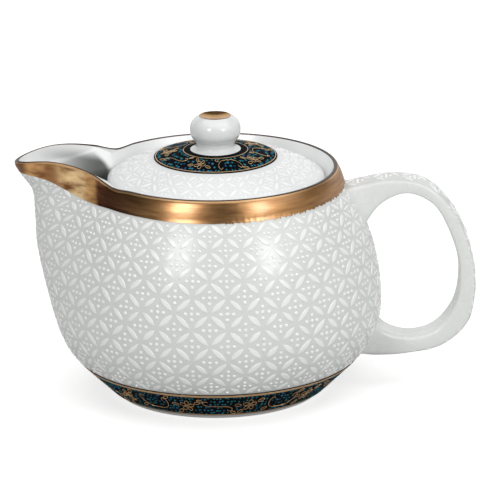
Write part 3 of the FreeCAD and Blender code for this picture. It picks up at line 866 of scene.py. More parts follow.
def gold_edge_shift(angle):
    """Shift of the lower edge at an angle in degrees from the keel: the dip, and the ragged part."""
    side = abs(angle)
    dip = -GOLD_DIP * math.sin(math.radians(side)) ** 2
    tooth = sum(size * math.sin(side * pace + start) for size, pace, start in RAGGED_WAVES)
    return dip + GOLD_RAGGED * ramp(side, RAGGED_FROM, RAGGED_FULL) * tooth / 2


gold_top = RIM_Z + GOLD_PROUD
edge_start = gold_top - GOLD_EDGE
gold_outside = []
for i, z in enumerate(rows_between(SHOULDER_Z, edge_start, GOLD_ROWS)):
    bulge = GOLD_BULGE * 4 * i / GOLD_ROWS * (1 - i / GOLD_ROWS)
    gold_outside.append((wall_radius(z) + GOLD_PROUD + bulge, z))
for i in range(1, GOLD_EDGE_POINTS + 1):
    turn = math.pi / 2 * i / GOLD_EDGE_POINTS
    gold_outside.append((RIM_RADIUS + GOLD_PROUD - GOLD_EDGE * (1 - math.cos(turn)),
                         gold_top - GOLD_EDGE * (1 - math.sin(turn))))
gold_rim = [(RIM_RADIUS - GOLD_RIM * share, RIM_Z + GOLD_PROUD * (1 - share ** GOLD_RIM_BEND))
            for share in GOLD_RIM_SHARES]
gold_bm = spun(gold_outside + gold_rim, closed=False, steps=GOLD_STEPS,
               skins=[0.0] * len(gold_outside) + GOLD_RIM_SHARES)
skin = gold_bm.verts.layers.float["skin"]
# Rim top and upper edge: dark gold as painted shade; the rest of the edge: lighter gold as painted highlight
for face in gold_bm.faces:
    lowest = min(vert.co.z for vert in face.verts)
    if any(vert[skin] > 0.0 for vert in face.verts) or lowest > edge_start + GOLD_EDGE * RIM_TOP_SHARE:
        face.material_index = 1
    elif lowest > edge_start - GOLD_EDGE / 10:
        face.material_index = 2
draw_out(gold_bm, low_edge=lip_gold_rise, most_proud=GOLD_PROUD, rim_width=GOLD_RIM)
for vert in gold_bm.verts:
    share = (RIM_Z - vert.co.z) / COLLAR_DEPTH
    angle = keel_angle(vert.co)
    if vert[skin] == 0.0 and share > 0.5 and abs(angle) > SPOUT_SECTOR:
        z = vert.co.z + gold_edge_shift(angle) * (2 * share - 1)
        moved = math.hypot(vert.co.x, vert.co.y) + wall_radius(z) - wall_radius(vert.co.z)
        vert.co = at_radius(vert.co, moved, z)
bmesh.ops.solidify(gold_bm, geom=gold_bm.faces[:], thickness=GOLD_THICKNESS)
face_outwards(gold_bm)
mouth_gold_skin = piece("mouth_gold_skin", gold_bm, mouth_gold, "pot", "gold",
                        "mouth_gold_band", "spout_gold_band")
mouth_gold_skin.data.materials.append(rim_gold_painted_shade)
mouth_gold_skin.data.materials.append(line_gold_and_painted_highlight)

# %% [markdown]
# ## Relief of interlocking circles
# Circles that overlap by a quarter leave a net of slim petals. Here the net stands on its corner: four
# petals meet at every junction, and five small dots fill each space between. One petal and one dot are
# modelled, as half lenses with a closed base, and laid hundreds of times on the wall. The net is measured
# along the wall itself, so it keeps its proportions on the spout. A cast pot has a mould seam in the plane
# of its spout and handle: the front half is laid, cut off at that plane and mirrored.

# %% Petal and dot templates
def half_sphere(around, along):
    """The upper half of a sphere, poles along X, with a closed base."""
    bm = bmesh.new()
    bmesh.ops.create_uvsphere(bm, u_segments=around, v_segments=along, radius=1.0)
    bmesh.ops.rotate(bm, verts=bm.verts[:], cent=(0, 0, 0), matrix=Matrix.Rotation(math.pi / 2, 3, "Y"))
    bmesh.ops.bisect_plane(bm, geom=everything(bm), dist=1e-5, plane_co=(0, 0, 0), plane_no=(0, 0, -1),
                           clear_outer=True)
    bmesh.ops.holes_fill(bm, edges=bm.edges[:], sides=0)
    face_outwards(bm)
    return bm


RELIEF_SINK = 0.12 * MM
PETAL_LENGTH = 0.78
# The lower these powers, the flatter is a petal's top and the more of its length stands at full height
PETAL_FLATNESS = 0.4
PETAL_FULLNESS = 0.3
FLAT = 1e-4


def petal_template(name, tile, slimness, height, sink=RELIEF_SINK):
    """A slim pointed petal along X, flat on top, sunk a little below z = 0. Its length and width are shares
    of half a diagonal of the net's tile."""
    bm = half_sphere(around=8, along=6)
    length, width = PETAL_LENGTH * tile / math.sqrt(2), slimness * tile / math.sqrt(2)
    for vert in bm.verts:
        taper = math.sqrt(max(0.0, 1 - vert.co.x ** 2))
        rise = (vert.co.z ** PETAL_FLATNESS if vert.co.z > FLAT else 0.0) * taper ** PETAL_FULLNESS
        sideways = vert.co.y * taper * width / 2
        vert.co = Vector((vert.co.x * length / 2, sideways, rise * (height + sink) - sink))
    return template(name, bm)


def dot_template(name, radius, height, sink=RELIEF_SINK):
    bm = half_sphere(around=8, along=4)
    for vert in bm.verts:
        vert.co = Vector((vert.co.x * radius, vert.co.y * radius, vert.co.z * (height + sink) - sink))
    return template(name, bm)


def laid(mesh, spots, place):
    """A bmesh with a copy of a template at every spot. place(spot, point) puts each vertex in its place.
    The copies are made by doubling, and those that are left over are deleted."""
    bm = bmesh.new()
    bm.from_mesh(mesh)
    while len(bm.verts) < len(mesh.vertices) * len(spots):
        bmesh.ops.duplicate(bm, geom=everything(bm))
    verts = bm.verts[:]
    size = len(mesh.vertices)
    for k, spot in enumerate(spots):
        for vert in verts[k * size:(k + 1) * size]:
            vert.co = place(spot, vert.co)
    bmesh.ops.delete(bm, geom=verts[len(spots) * size:], context="VERTS")
    face_outwards(bm)
    return bm


NET_COLUMNS = 29
NET_ROW_SHARE = 0.93
NET_PHASE = -2.5 / 360 * NET_COLUMNS
TILE = 2 * math.pi * BELLY_RADIUS / NET_COLUMNS
PETAL_WIDTH = 0.26
PETAL_HEIGHT = 0.30 * MM
PETAL_UNEVEN = 0.12
DOT_RADIUS = 0.76 * MM
DOT_HEIGHT = 0.42 * MM
DOT_UNEVEN = 0.10 * MM
DOT_SPACING = 2.3 * MM
wall_petal = petal_template("wall_petal", TILE, PETAL_WIDTH, PETAL_HEIGHT)
wall_dot = dot_template("wall_dot", DOT_RADIUS, DOT_HEIGHT)
print("petal faces:", len(wall_petal.polygons), "dot faces:", len(wall_dot.polygons))

# %% The net on the wall
NET_STEP = 0.5 * MM
NET_TOP_Z = RIM_Z + 6 * MM
NET_HEIGHTS = 60
# Degrees past the keel to which the wall is measured, and small steps that give its direction at a place
PAST_KEEL = 30
TURN_NUDGE = 0.0005
HEIGHT_NUDGE = 0.1 * MM


def net_heights():
    """Rows of (net row, height): a row of the net is as tall as a column is wide, times a share."""
    rows = []
    row = 0.0
    z = BAND_TOP_Z
    while z < NET_TOP_Z:
        rows.append((row, z))
        step = math.hypot(NET_STEP, wall_radius(z + NET_STEP) - wall_radius(z))
        row += step / wall_radius(z) * NET_COLUMNS / (2 * math.pi) / NET_ROW_SHARE
        z += NET_STEP
    return rows


height_of_row = through(net_heights())


def spout_turns(z):
    """For one height, rows of (turn along the wall, angle from the keel), from the front towards the keel."""
    rows = []
    along = (90 - SPOUT_SECTOR) / 360
    angle = SPOUT_SECTOR
    while angle > -PAST_KEEL:
        rows.append((along, angle))
        here, there = outer_radius(angle, z), outer_radius(angle - 1, z)
        along += math.hypot(there - here, here * math.radians(1)) / wall_radius(z) / (2 * math.pi)
        angle -= 1
    return through(rows)


TURN_HEIGHTS = rows_between(BAND_TOP_Z, NET_TOP_Z, NET_HEIGHTS)
TURN_TABLE = [spout_turns(z) for z in TURN_HEIGHTS]


def angle_of_turn(turn, z):
    """Angle from the keel of a place on the front half: turns count from the front, towards the handle."""
    along = -turn
    if along <= (90 - SPOUT_SECTOR) / 360:
        return 90 - along * 360
    step = TURN_HEIGHTS[1] - TURN_HEIGHTS[0]
    share = (z - TURN_HEIGHTS[0]) / step
    i = max(0, min(len(TURN_TABLE) - 2, int(share)))
    return blend(TURN_TABLE[i](along), TURN_TABLE[i + 1](along), share - i)


def wall_point(turn, z):
    angle = angle_of_turn(turn, z)
    return polar(-outer_radius(angle, z), math.radians(angle), z)


def on_wall(column, row, proud):
    """A point of the net, at a height off the wall."""
    turn = column / NET_COLUMNS
    z = height_of_row(row)
    here = wall_point(turn, z)
    along = wall_point(turn + TURN_NUDGE, z) - here
    upward = wall_point(turn, z + HEIGHT_NUDGE) - here
    return here + along.cross(upward).normalized() * proud


def half_steps(columns, rows, odd):
    """Half columns and half rows, as pairs whose sum is even, where petals meet, or odd, where dots are."""
    return [(i, j) for i in range(2 * columns[0], 2 * columns[1] + 1)
            for j in range(2 * rows[0], 2 * rows[1] + 1) if (i + j) % 2 == odd]


def net_petals(columns, rows):
    """Middles and directions of the petals, in columns and rows."""
    found = []
    for i, j in half_steps(columns, rows, odd=0):
        found += [((i + 0.5) / 2, (j + 0.5) / 2, 1), ((i + 0.5) / 2, (j - 0.5) / 2, -1)]
    return found


def net_dots(columns, rows, spacing):
    """Places of the dots, five to a cell."""
    five = ((0, 0), (1, 0), (-1, 0), (0, 1), (0, -1))
    return [(i / 2 + a * spacing, j / 2 + b * spacing)
            for i, j in half_steps(columns, rows, odd=1) for a, b in five]


def gold_lower_edge(angle, z):
    """Height of the gold's lower edge above a place on the wall."""
    out = outer_radius(angle, z) * math.cos(math.radians(angle))
    return SHOULDER_Z + lip_gold_rise(out) + (gold_edge_shift(angle) if abs(angle) > SPOUT_SECTOR else 0.0)


# The front half with a margin beyond the mould seam: in turns from the front, and in degrees from the keel
FRONT_TURNS = (-0.36, 0.27)
FRONT_ANGLES = (-4, 184)
FIRST_ROW = 0.02


def on_show(column, row, margin):
    """True where a place of the net lies on the front half, under the gold and above the dark band."""
    if row < FIRST_ROW or not FRONT_TURNS[0] < column / NET_COLUMNS < FRONT_TURNS[1]:
        return False
    z = height_of_row(row)
    angle = angle_of_turn(column / NET_COLUMNS, z)
    return FRONT_ANGLES[0] < angle < FRONT_ANGLES[1] and z < gold_lower_edge(angle, z) - margin


BAND_CLEARANCE = 0.25 * MM


def mirror_half(bm):
    """Cuts the front half off at the mould seam and at the dark band, and mirrors it to the back."""
    cuts = [((0, 0, 0), (0, 1, 0)), ((0, 0, BAND_TOP_Z + BAND_CLEARANCE), (0, 0, -1))]
    for point, normal in cuts:
        bmesh.ops.bisect_plane(bm, geom=everything(bm), dist=1e-7, plane_co=point, plane_no=normal,
                               clear_outer=True)
    bmesh.ops.mirror(bm, geom=everything(bm), matrix=Matrix.Identity(4), merge_dist=0.005 * MM, axis="Y")
    face_outwards(bm)


HALF_COLUMNS = (-12, 9)
HALF_ROWS = (0, 7)
# How far below the gold's edge a petal or a dot has to be, where relief fades, and how the keel is worn
PETAL_MARGIN = -0.6 * MM
DOT_MARGIN = 0.5 * MM
RELIEF_FADE = 0.9 * MM
KEEL_RELIEF = 0.35
KEEL_WORN_TO, KEEL_WHOLE_FROM = 2, 16


def slanted(spot, point, tile):
    """Column and row of a petal's point: the petal is turned onto its diagonal and set on its middle."""
    column, row, slope = spot
    half = tile * math.sqrt(2)
    return column + (point.x - point.y * slope) / half, row + (point.x * slope + point.y) / half


chance = random.Random(11)


def uneven(size):
    """A small random amount, as between strokes made by hand."""
    return chance.uniform(-size, size)


petal_spots = [(c + NET_PHASE, r, slope, 1 + uneven(PETAL_UNEVEN), 1 + uneven(PETAL_UNEVEN))
               for c, r, slope in net_petals(HALF_COLUMNS, HALF_ROWS)]
petal_spots = [spot for spot in petal_spots if on_show(spot[0], spot[1], PETAL_MARGIN)]


def worn(column, row, proud):
    """How far relief stands out: less on the keel, and none under the gold."""
    z = height_of_row(row)
    angle = abs(angle_of_turn(column / NET_COLUMNS, z))
    clear = (gold_lower_edge(angle, z) - z) / RELIEF_FADE
    keel = blend(KEEL_RELIEF, 1.0, ramp(angle, KEEL_WORN_TO, KEEL_WHOLE_FROM))
    return proud * max(0.0, min(keel, clear)) if proud > 0 else proud


def petal_place(spot, point):
    """A point of a petal that is a little longer or wider than the next."""
    sized = Vector((point.x * spot[3], point.y * spot[4], point.z))
    column, row = slanted(spot[:3], sized, TILE)
    return on_wall(column, row, worn(column, row, point.z))


petal_bm = laid(wall_petal, petal_spots, petal_place)
mirror_half(petal_bm)
piece("wall_petals", petal_bm, relief_glaze, "pot", "porcelain")

dot_spots = [(c + NET_PHASE + uneven(DOT_UNEVEN / TILE), r + uneven(DOT_UNEVEN / TILE))
             for c, r in net_dots(HALF_COLUMNS, HALF_ROWS, DOT_SPACING / TILE)]
dot_spots = [spot for spot in dot_spots if on_show(*spot, DOT_MARGIN)]


def dot_place(spot, point):
    return on_wall(spot[0] + point.x / TILE, spot[1] + point.y / TILE, worn(*spot, point.z))


dot_bm = laid(wall_dot, dot_spots, dot_place)
mirror_half(dot_bm)
piece("wall_dots", dot_bm, dot_glaze, "pot", "porcelain")

# %% [markdown]
# ## Foot ring
# The pot stands on a low ring, wiped clean of glaze so that it doesn't stick in the kiln, and left matt.

# %% Foot ring
FOOT_ROUNDING = 0.5 * MM
ring_inner = FOOT_TOP_RADIUS - FOOT_RING_WIDTH
foot_profile = rounded([(ring_inner, 0.0, FOOT_ROUNDING), (FOOT_RADIUS, 0.0, FOOT_ROUNDING),
                        (FOOT_TOP_RADIUS, FOOT_HEIGHT, 0.0), (ring_inner, FOOT_HEIGHT, 0.0)])
piece("foot", spun(foot_profile), foot_clay, "pot", "porcelain_foot", "foot_ring")

# %% [markdown]
# ## Dark enamel bands
# A band is a layer of dark enamel with a gold line along each edge, rows of raised glass dots, and scrolls
# and flower sprays in gold. The foot band lies on a cone and the lid band on a dome, so everything is
# placed by one function per band, from an angle, a distance across the band and a height off it. Dots that
# would touch the gold are left out, as a painter leaves them out.

# %% Band helpers
LAYER = 0.25 * MM
LAYER_LOW = 0.02 * MM
LINE_HEIGHT = 0.12 * MM
THREAD_LIFT = 0.06 * MM
BAND_STRETCH = 1.6
DROP_RADIUS = 0.42 * MM
DROP_HEIGHT = 0.16 * MM
DROP_SINK = 0.10 * MM
DROP_PITCH = 1.45 * MM
DROP_UNEVEN = 0.4 * MM
DROP_SIZE_UNEVEN = 0.3
DROP_ROW_SHARE = 0.9
drop = dot_template("drop", DROP_RADIUS, DROP_HEIGHT, DROP_SINK)


def band_strip(place, low, high, rows=6, thickness=LAYER):
    """A closed layer between two distances across a band, with its top at a height of one thickness."""
    top = [place(0.0, blend(low, high, i / rows), thickness) for i in range(rows + 1)]
    bottom = [place(0.0, blend(high, low, i / rows), LAYER_LOW) for i in range(rows + 1)]
    return spun([(p.x, p.z) for p in top + bottom])


def band_lines(place, *edges):
    """Gold lines on a band's layer, each between two distances across."""
    def on_layer(angle, across, proud):
        return place(angle, across, proud + LAYER)

    bm = bmesh.new()
    for low, high in edges:
        bm.from_mesh(template("band_line", band_strip(on_layer, low, high, 2, LINE_HEIGHT)))
    return bm


SCROLL_POINTS = 44
LOOP_POINTS = 14


def scroll(length, height, curl, same_way):
    """Points (x, y) of a scroll whose ends curl up. It bends ever more tightly towards both ends, to the
    same side for a C, and to opposite sides for an S."""
    x = y = 0.0
    points = []
    for i in range(SCROLL_POINTS + 1):
        t = 2 * i / SCROLL_POINTS - 1
        heading = curl * math.pi * (t ** 3 if same_way else abs(t) ** 3)
        x += math.cos(heading)
        y += math.sin(heading)
        points.append((x, y))
    xs, ys = [p[0] for p in points], [p[1] for p in points]
    wide, tall = max(xs) - min(xs), max(ys) - min(ys)
    middle_x, middle_y = (max(xs) + min(xs)) / 2, (max(ys) + min(ys)) / 2
    return [((px - middle_x) / wide * length, (py - middle_y) / tall * height) for px, py in points]


def leaf_loop(reach, length, width, turn):
    """Points (x, y) of a leaf's or petal's outline, at a reach from the middle and turned about it."""
    points = []
    for i in range(LOOP_POINTS):
        t = 2 * math.pi * i / LOOP_POINTS
        x = reach + length / 2 * math.cos(t)
        y = width / 2 * math.sin(t)
        points.append((x * math.cos(turn) - y * math.sin(turn), x * math.sin(turn) + y * math.cos(turn)))
    return points


# Scrolls, and leaves as reach, length and width, all as shares of a scroll's height
SCROLL_LENGTH = 1.25
SCROLL_CURL = 1.5
C_HEIGHT = 0.62
S_HEIGHT = 0.55
SCROLL_LEAF = (0.78, 0.26, 0.13)
FLOWER_PETAL = (0.19, 0.22, 0.17)
FLOWER_EYE = (0.0, 0.08, 0.08)
FLOWER_LEAF = (0.5, 0.27, 0.14)
# Turns in radians: of the leaves beside a scroll, from petal to petal, and of the leaves round a flower
SCROLL_LEAF_TURNS = (0.5, math.pi - 0.4)
FLOWER_PETALS = 5
PETAL_TURN = 1.2566
FLOWER_LEAF_TURNS = (0.2, math.pi - 0.35, math.pi + 0.5)
# How uneven a spray's place is along the band, across it, and how a flower is turned
SPRAY_UNEVEN = 0.1
SHIFT_UNEVEN = 0.06
FLOWER_UNEVEN = 0.6


def sprays(count, middle, reach, size):
    """Open lines and closed loops of (angle, distance across) for a band: scrolls by turns with flower
    sprays. middle is the distance across the band, reach its radius there, and size the height of a scroll.
    Everything is stretched across the band, because the band is seen at a slant."""
    lines, loops = [], []

    def leaf(shape, turn):
        return leaf_loop(*[size * share for share in shape], turn)

    for k in range(count):
        start = 2 * math.pi * (k + uneven(SPRAY_UNEVEN)) / count
        shift = middle + uneven(SHIFT_UNEVEN) * size

        def set_down(points, flip=1):
            return [(start + x / reach, shift + flip * y * BAND_STRETCH) for x, y in points]

        if k % 2 == 0:
            same_way = k % 4 == 0
            flip = 1 if same_way else -1
            tall = size * (C_HEIGHT if same_way else S_HEIGHT)
            lines.append(set_down(scroll(size * SCROLL_LENGTH, tall, SCROLL_CURL, same_way), flip))
            loops.append(set_down(leaf(SCROLL_LEAF, SCROLL_LEAF_TURNS[0]), flip))
            loops.append(set_down(leaf(SCROLL_LEAF, SCROLL_LEAF_TURNS[1]), -flip))
        else:
            turn = uneven(FLOWER_UNEVEN)
            for petal in range(FLOWER_PETALS):
                loops.append(set_down(leaf(FLOWER_PETAL, turn + petal * PETAL_TURN)))
            loops.append(set_down(leaf(FLOWER_EYE, 0.0)))
            for side in FLOWER_LEAF_TURNS:
                loops.append(set_down(leaf(FLOWER_LEAF, turn + side)))
    return lines, loops


def threads(name, lines, loops, place, radius):
    """Gold lines and loops of round wire section, half sunk in the enamel, as one bmesh."""
    def raised(rows):
        return [[place(angle, across, LAYER + THREAD_LIFT) for angle, across in points] for points in rows]

    bm = bmesh.new()
    bm.from_mesh(wires(name, raised(lines), radius))
    bm.from_mesh(wires(name, raised(loops), radius, closed=True))
    return bm


def drops_between(place, low, high, gold_bm, clearance):
    """Rows of dots over a band, staggered from row to row, clear of its gold."""
    near = kdtree.KDTree(len(gold_bm.verts))
    for i, vert in enumerate(gold_bm.verts):
        near.insert(vert.co, i)
    near.balance()
    spots = []
    count = int((high - low) / (DROP_PITCH * BAND_STRETCH * DROP_ROW_SHARE)) + 1
    for row in range(count):
        across = blend(low, high, row / (count - 1))
        middle = place(0.0, across, 0.0)
        around = int(2 * math.pi * middle.x / DROP_PITCH)
        for k in range(around):
            angle = 2 * math.pi * (k + 0.5 * (row % 2)) / around + uneven(DROP_UNEVEN) / middle.x
            across_here = across + uneven(DROP_UNEVEN * BAND_STRETCH)
            if near.find(place(angle, across_here, LAYER))[2] > clearance:
                spots.append((angle, across_here, middle.x, 1 + uneven(DROP_SIZE_UNEVEN)))
    return laid(drop, spots, lambda spot, p: place(spot[0] + p.x * spot[3] / spot[2],
                                                   spot[1] + p.y * spot[3] * BAND_STRETCH, LAYER + p.z))


print("drop faces:", len(drop.polygons))

# %% Foot band
BAND_LENGTH = math.hypot(BAND_TOP_RADIUS - FOOT_TOP_RADIUS, BAND_TOP_Z - FOOT_HEIGHT)
BAND_OUT = (BAND_TOP_RADIUS - FOOT_TOP_RADIUS) / BAND_LENGTH
BAND_UP = (BAND_TOP_Z - FOOT_HEIGHT) / BAND_LENGTH
FOOT_UPPER_LINE = 1.4 * MM
FOOT_UPPER_INSET = 0.2 * MM
FOOT_LOWER_LINE = 0.5 * MM
FOOT_LOWER_INSET = 0.5 * MM
FOOT_SPRAYS = 24
FOOT_SPRAY_SIZE = 8.6 * MM
FOOT_SPRAY_DROP = 0.4 * MM
FOOT_THREAD = 0.115 * MM
FOOT_DROPS_ABOVE = 1.9 * MM
FOOT_DROPS_BELOW = 2.9 * MM
FOOT_DROP_CLEARANCE = 0.72 * MM


def on_foot_band(angle, across, proud):
    """A point on the cone above the foot, across from its lower edge."""
    radius = FOOT_TOP_RADIUS + across * BAND_OUT + proud * BAND_UP
    return polar(radius, angle, FOOT_HEIGHT + across * BAND_UP - proud * BAND_OUT)


foot_ground_bm = band_strip(on_foot_band, 0.0, BAND_LENGTH)
piece("foot_band_ground", foot_ground_bm, dark_enamel, "pot", "dark_enamel", "foot_enamel_band")
upper_start = BAND_LENGTH - FOOT_UPPER_INSET - FOOT_UPPER_LINE
foot_line_bm = band_lines(on_foot_band, (FOOT_LOWER_INSET, FOOT_LOWER_INSET + FOOT_LOWER_LINE),
                          (upper_start, upper_start + FOOT_UPPER_LINE))
piece("foot_band_lines", foot_line_bm, line_gold_and_painted_highlight, "pot", "gold", "foot_gold_lines")

foot_middle = BAND_LENGTH / 2 - FOOT_SPRAY_DROP
foot_reach = FOOT_TOP_RADIUS + foot_middle * BAND_OUT
foot_drawing = sprays(FOOT_SPRAYS, foot_middle, foot_reach, FOOT_SPRAY_SIZE)
foot_spray_bm = threads("foot_scrolls", *foot_drawing, on_foot_band, FOOT_THREAD)
foot_drop_bm = drops_between(on_foot_band, FOOT_DROPS_ABOVE, BAND_LENGTH - FOOT_DROPS_BELOW, foot_spray_bm,
                             FOOT_DROP_CLEARANCE)
piece("foot_band_sprays", foot_spray_bm, line_gold_and_painted_highlight, "pot", "gold")
piece("foot_band_drops", foot_drop_bm, blue_drops, "pot", "dark_enamel")

# %% [markdown]
# ## Handle
# The handle is a strap that leaves the shoulder, loops round and comes back above the foot band. Its side
# view is two curves, an outer and an inner one. A rounded section is set between them at many stations, and
# the loops are bridged one to the next. The ends are pressed back to just under the wall's surface, so none
# shows inside the pot.

# %% Handle
HANDLE_HALF_WIDTH = 6.5 * MM
HANDLE_STATIONS = 96
HANDLE_SECTION = 40
HANDLE_SQUARENESS = 6.0
HANDLE_ROOT_FLARE = 0.35
HANDLE_ROOT_SHARE = 0.16
HANDLE_BITE = 1.4 * MM
# Lowest place of the strap above the dark band, at the wall and free of it, and how far off it is free
HANDLE_ABOVE_BAND = 0.2 * MM
HANDLE_FREE = -1.2 * MM
HANDLE_CLEARING = 9.0 * MM
# Middle of the loop beyond the belly, and the most that a face of the outer side leans sideways
HANDLE_MIDDLE_OUT = 12 * MM
HANDLE_OUTER_LEAN = 0.6
# Distance beyond the belly, and height above the shoulder in upper rows, above the dark band in lower rows
HANDLE_OUTER_UPPER = [(-20.5, -2.8), (-8.5, 0.2), (4.5, 2.2), (16.5, 0.1), (26.9, -10.2), (33.4, -25.7)]
HANDLE_OUTER_LOWER = [(35.1, 24.8), (31.8, 10.3), (23.0, 2.5), (9.5, -0.7), (-10.5, -1.1)]
HANDLE_INNER_UPPER = [(-8.5, -24.2), (-4.5, -13.2), (0.5, -7.0), (9.5, -3.2), (18.5, -6.8), (25.4, -18.2)]
HANDLE_INNER_LOWER = [(29.0, 30.3), (26.3, 16.3), (18.5, 7.7), (10.0, 5.8), (2.0, 8.2), (-4.5, 15.3)]


def side_curve(upper, lower):
    """A function of the share along a smooth curve through a side's points."""
    points = [Vector((BELLY_RADIUS + x * MM, SHOULDER_Z + z * MM)) for x, z in upper]
    points += [Vector((BELLY_RADIUS + x * MM, BAND_TOP_Z + z * MM)) for x, z in lower]
    lengths = [0.0]
    for a, b in zip(points, points[1:]):
        lengths.append(lengths[-1] + (b - a).length)
    x_at = through([(length, p.x) for length, p in zip(lengths, points)])
    z_at = through([(length, p.y) for length, p in zip(lengths, points)])
    return lambda share: Vector((x_at(share * lengths[-1]), 0, z_at(share * lengths[-1]))), lengths[-1]


outer_side, HANDLE_LENGTH = side_curve(HANDLE_OUTER_UPPER, HANDLE_OUTER_LOWER)
inner_side, _ = side_curve(HANDLE_INNER_UPPER, HANDLE_INNER_LOWER)


def handle_width(share):
    """Half the strap's width: it flares at its roots."""
    root = max(0.0, 1 - min(share, 1 - share) / HANDLE_ROOT_SHARE)
    return HANDLE_HALF_WIDTH * (1 + HANDLE_ROOT_FLARE * root ** 2)


def handle_point(share, turn):
    """A point on the strap's skin. The turn goes round the section, from the outer face."""
    outer, inner = outer_side(share), inner_side(share)
    middle = (outer + inner) / 2
    reach = 2 / HANDLE_SQUARENESS
    thick = math.copysign(abs(math.cos(turn)) ** reach, math.cos(turn))
    wide = math.copysign(abs(math.sin(turn)) ** reach, math.sin(turn))
    return middle + (outer - middle) * thick + Vector((0, handle_width(share) * wide, 0))


def press_to_wall(point):
    """Keeps a point of the strap from going deeper into the wall than the bite, or down on the dark band."""
    radius = math.hypot(point.x, point.y)
    gap = radius - wall_radius(max(point.z, BAND_TOP_Z))
    lowest = blend(HANDLE_ABOVE_BAND, HANDLE_FREE, ramp(gap, 0.0, HANDLE_CLEARING))
    z = max(point.z, BAND_TOP_Z + lowest)
    deepest = wall_radius(min(z, RIM_Z)) - HANDLE_BITE
    scale = max(1.0, deepest / radius)
    return Vector((point.x * scale, point.y * scale, z))


handle_bm = bmesh.new()
loops = []
for station in range(HANDLE_STATIONS + 1):
    share = station / HANDLE_STATIONS
    made = bmesh.ops.create_circle(handle_bm, cap_ends=False, segments=HANDLE_SECTION, radius=1.0)
    for k, vert in enumerate(made["verts"]):
        vert.co = press_to_wall(handle_point(share, 2 * math.pi * k / HANDLE_SECTION))
    loops.append(list({edge for vert in made["verts"] for edge in vert.link_edges}))
for before, after in zip(loops, loops[1:]):
    bmesh.ops.bridge_loops(handle_bm, edges=before + after)
for end in (loops[0], loops[-1]):
    bmesh.ops.edgeloop_fill(handle_bm, edges=end)
face_outwards(handle_bm)
loop_middle = Vector((BELLY_RADIUS + HANDLE_MIDDLE_OUT, 0, (SHOULDER_Z + BAND_TOP_Z) / 2))
for face in handle_bm.faces:
    outward = face.normal.dot(face.calc_center_median() - loop_middle) > 0
    face.material_index = int(abs(face.normal.y) < HANDLE_OUTER_LEAN and outward)
handle = piece("handle", handle_bm, handle_glaze, "pot", "porcelain", "handle_loop")
handle.data.materials.append(wall_glaze)

# %% [markdown]
# The relief runs on over the outer face of the handle as a single row of circles. Junctions lie on the
# middle line and near both edges, and the places are found on the strap's own skin.

# %% Relief on the handle
HANDLE_TILE = 10.6 * MM
HANDLE_DOT_SPACING = 1.7 * MM
HANDLE_RELIEF_START = 0.05
HANDLE_RELIEF_END = 0.90
HANDLE_EDGE = 0.98
SHARE_NUDGE = 0.002
SECTION_NUDGE = 0.02
SLIM_PETAL = 0.215
# Dots along both edges: their pitch, where they begin, how many of them there are, and how far out they lie
EDGE_DOT_PITCH = 1.9 * MM
EDGE_DOT_START = 0.30
EDGE_DOT_CHANCE = 0.55
EDGE_DOT_OUT = 0.96
EDGE_DOT_UNEVEN = 0.06
EDGE_DOT_OUT_UNEVEN = 0.02
handle_petal = petal_template("handle_petal", HANDLE_TILE, SLIM_PETAL, height=0.34 * MM)
handle_dot = dot_template("handle_dot", radius=0.58 * MM, height=0.42 * MM)


def on_handle(along, across, proud):
    """A point on the strap's outer face: a distance along it, and one across from the middle line."""
    share = along / HANDLE_LENGTH
    wide = max(-HANDLE_EDGE, min(HANDLE_EDGE, across / handle_width(share)))
    turn = math.asin(math.copysign(abs(wide) ** (HANDLE_SQUARENESS / 2), wide))
    here = handle_point(share, turn)
    forward = handle_point(share + SHARE_NUDGE, turn) - here
    sideways = handle_point(share, turn + SECTION_NUDGE) - here
    return here + forward.cross(sideways).normalized() * proud


net_start = HANDLE_RELIEF_START * HANDLE_LENGTH
net_length = int((HANDLE_RELIEF_END - HANDLE_RELIEF_START) * HANDLE_LENGTH / HANDLE_TILE)


def on_handle_net(column, row, proud):
    return on_handle(net_start + column * HANDLE_TILE, row * HANDLE_TILE, proud)


def petals_on(surface, tile):
    """Sets a petal's points on a net, where surface gives a point from a column, a row and a height."""
    return lambda spot, point: surface(*slanted(spot, point, tile), point.z)


def dots_on(surface, tile):
    """The same for a dot's points."""
    return lambda spot, point: surface(spot[0] + point.x / tile, spot[1] + point.y / tile, point.z)


handle_spots = [spot for spot in net_petals((0, net_length), (0, 1)) if abs(spot[1]) < 0.5]
handle_dot_spots = net_dots((0, net_length), (0, 0), HANDLE_DOT_SPACING / HANDLE_TILE)
for k in range(int(net_length * HANDLE_TILE / EDGE_DOT_PITCH)):
    for side in (-1, 1):
        if chance.random() < EDGE_DOT_CHANCE and k * EDGE_DOT_PITCH > EDGE_DOT_START * HANDLE_LENGTH:
            column = k * EDGE_DOT_PITCH / HANDLE_TILE + uneven(EDGE_DOT_UNEVEN)
            out = side * (EDGE_DOT_OUT + uneven(EDGE_DOT_OUT_UNEVEN)) * HANDLE_HALF_WIDTH
            handle_dot_spots.append((column, out / HANDLE_TILE))
handle_petal_bm = laid(handle_petal, handle_spots, petals_on(on_handle_net, HANDLE_TILE))
handle_dot_bm = laid(handle_dot, handle_dot_spots, dots_on(on_handle_net, HANDLE_TILE))
piece("handle_petals", handle_petal_bm, dot_glaze, "pot", "porcelain")
piece("handle_dots", handle_dot_bm, dot_glaze, "pot", "porcelain")

# %% [markdown]
# ## Lid
# The lid is a shallow dome that sits down inside the mouth, with a ring below it that keeps it centred in
# the infuser. It carries the same net in lower relief outside the dark band. The knob is a ball on a short
# neck that flares into a base, with a gilded hollow in its top.

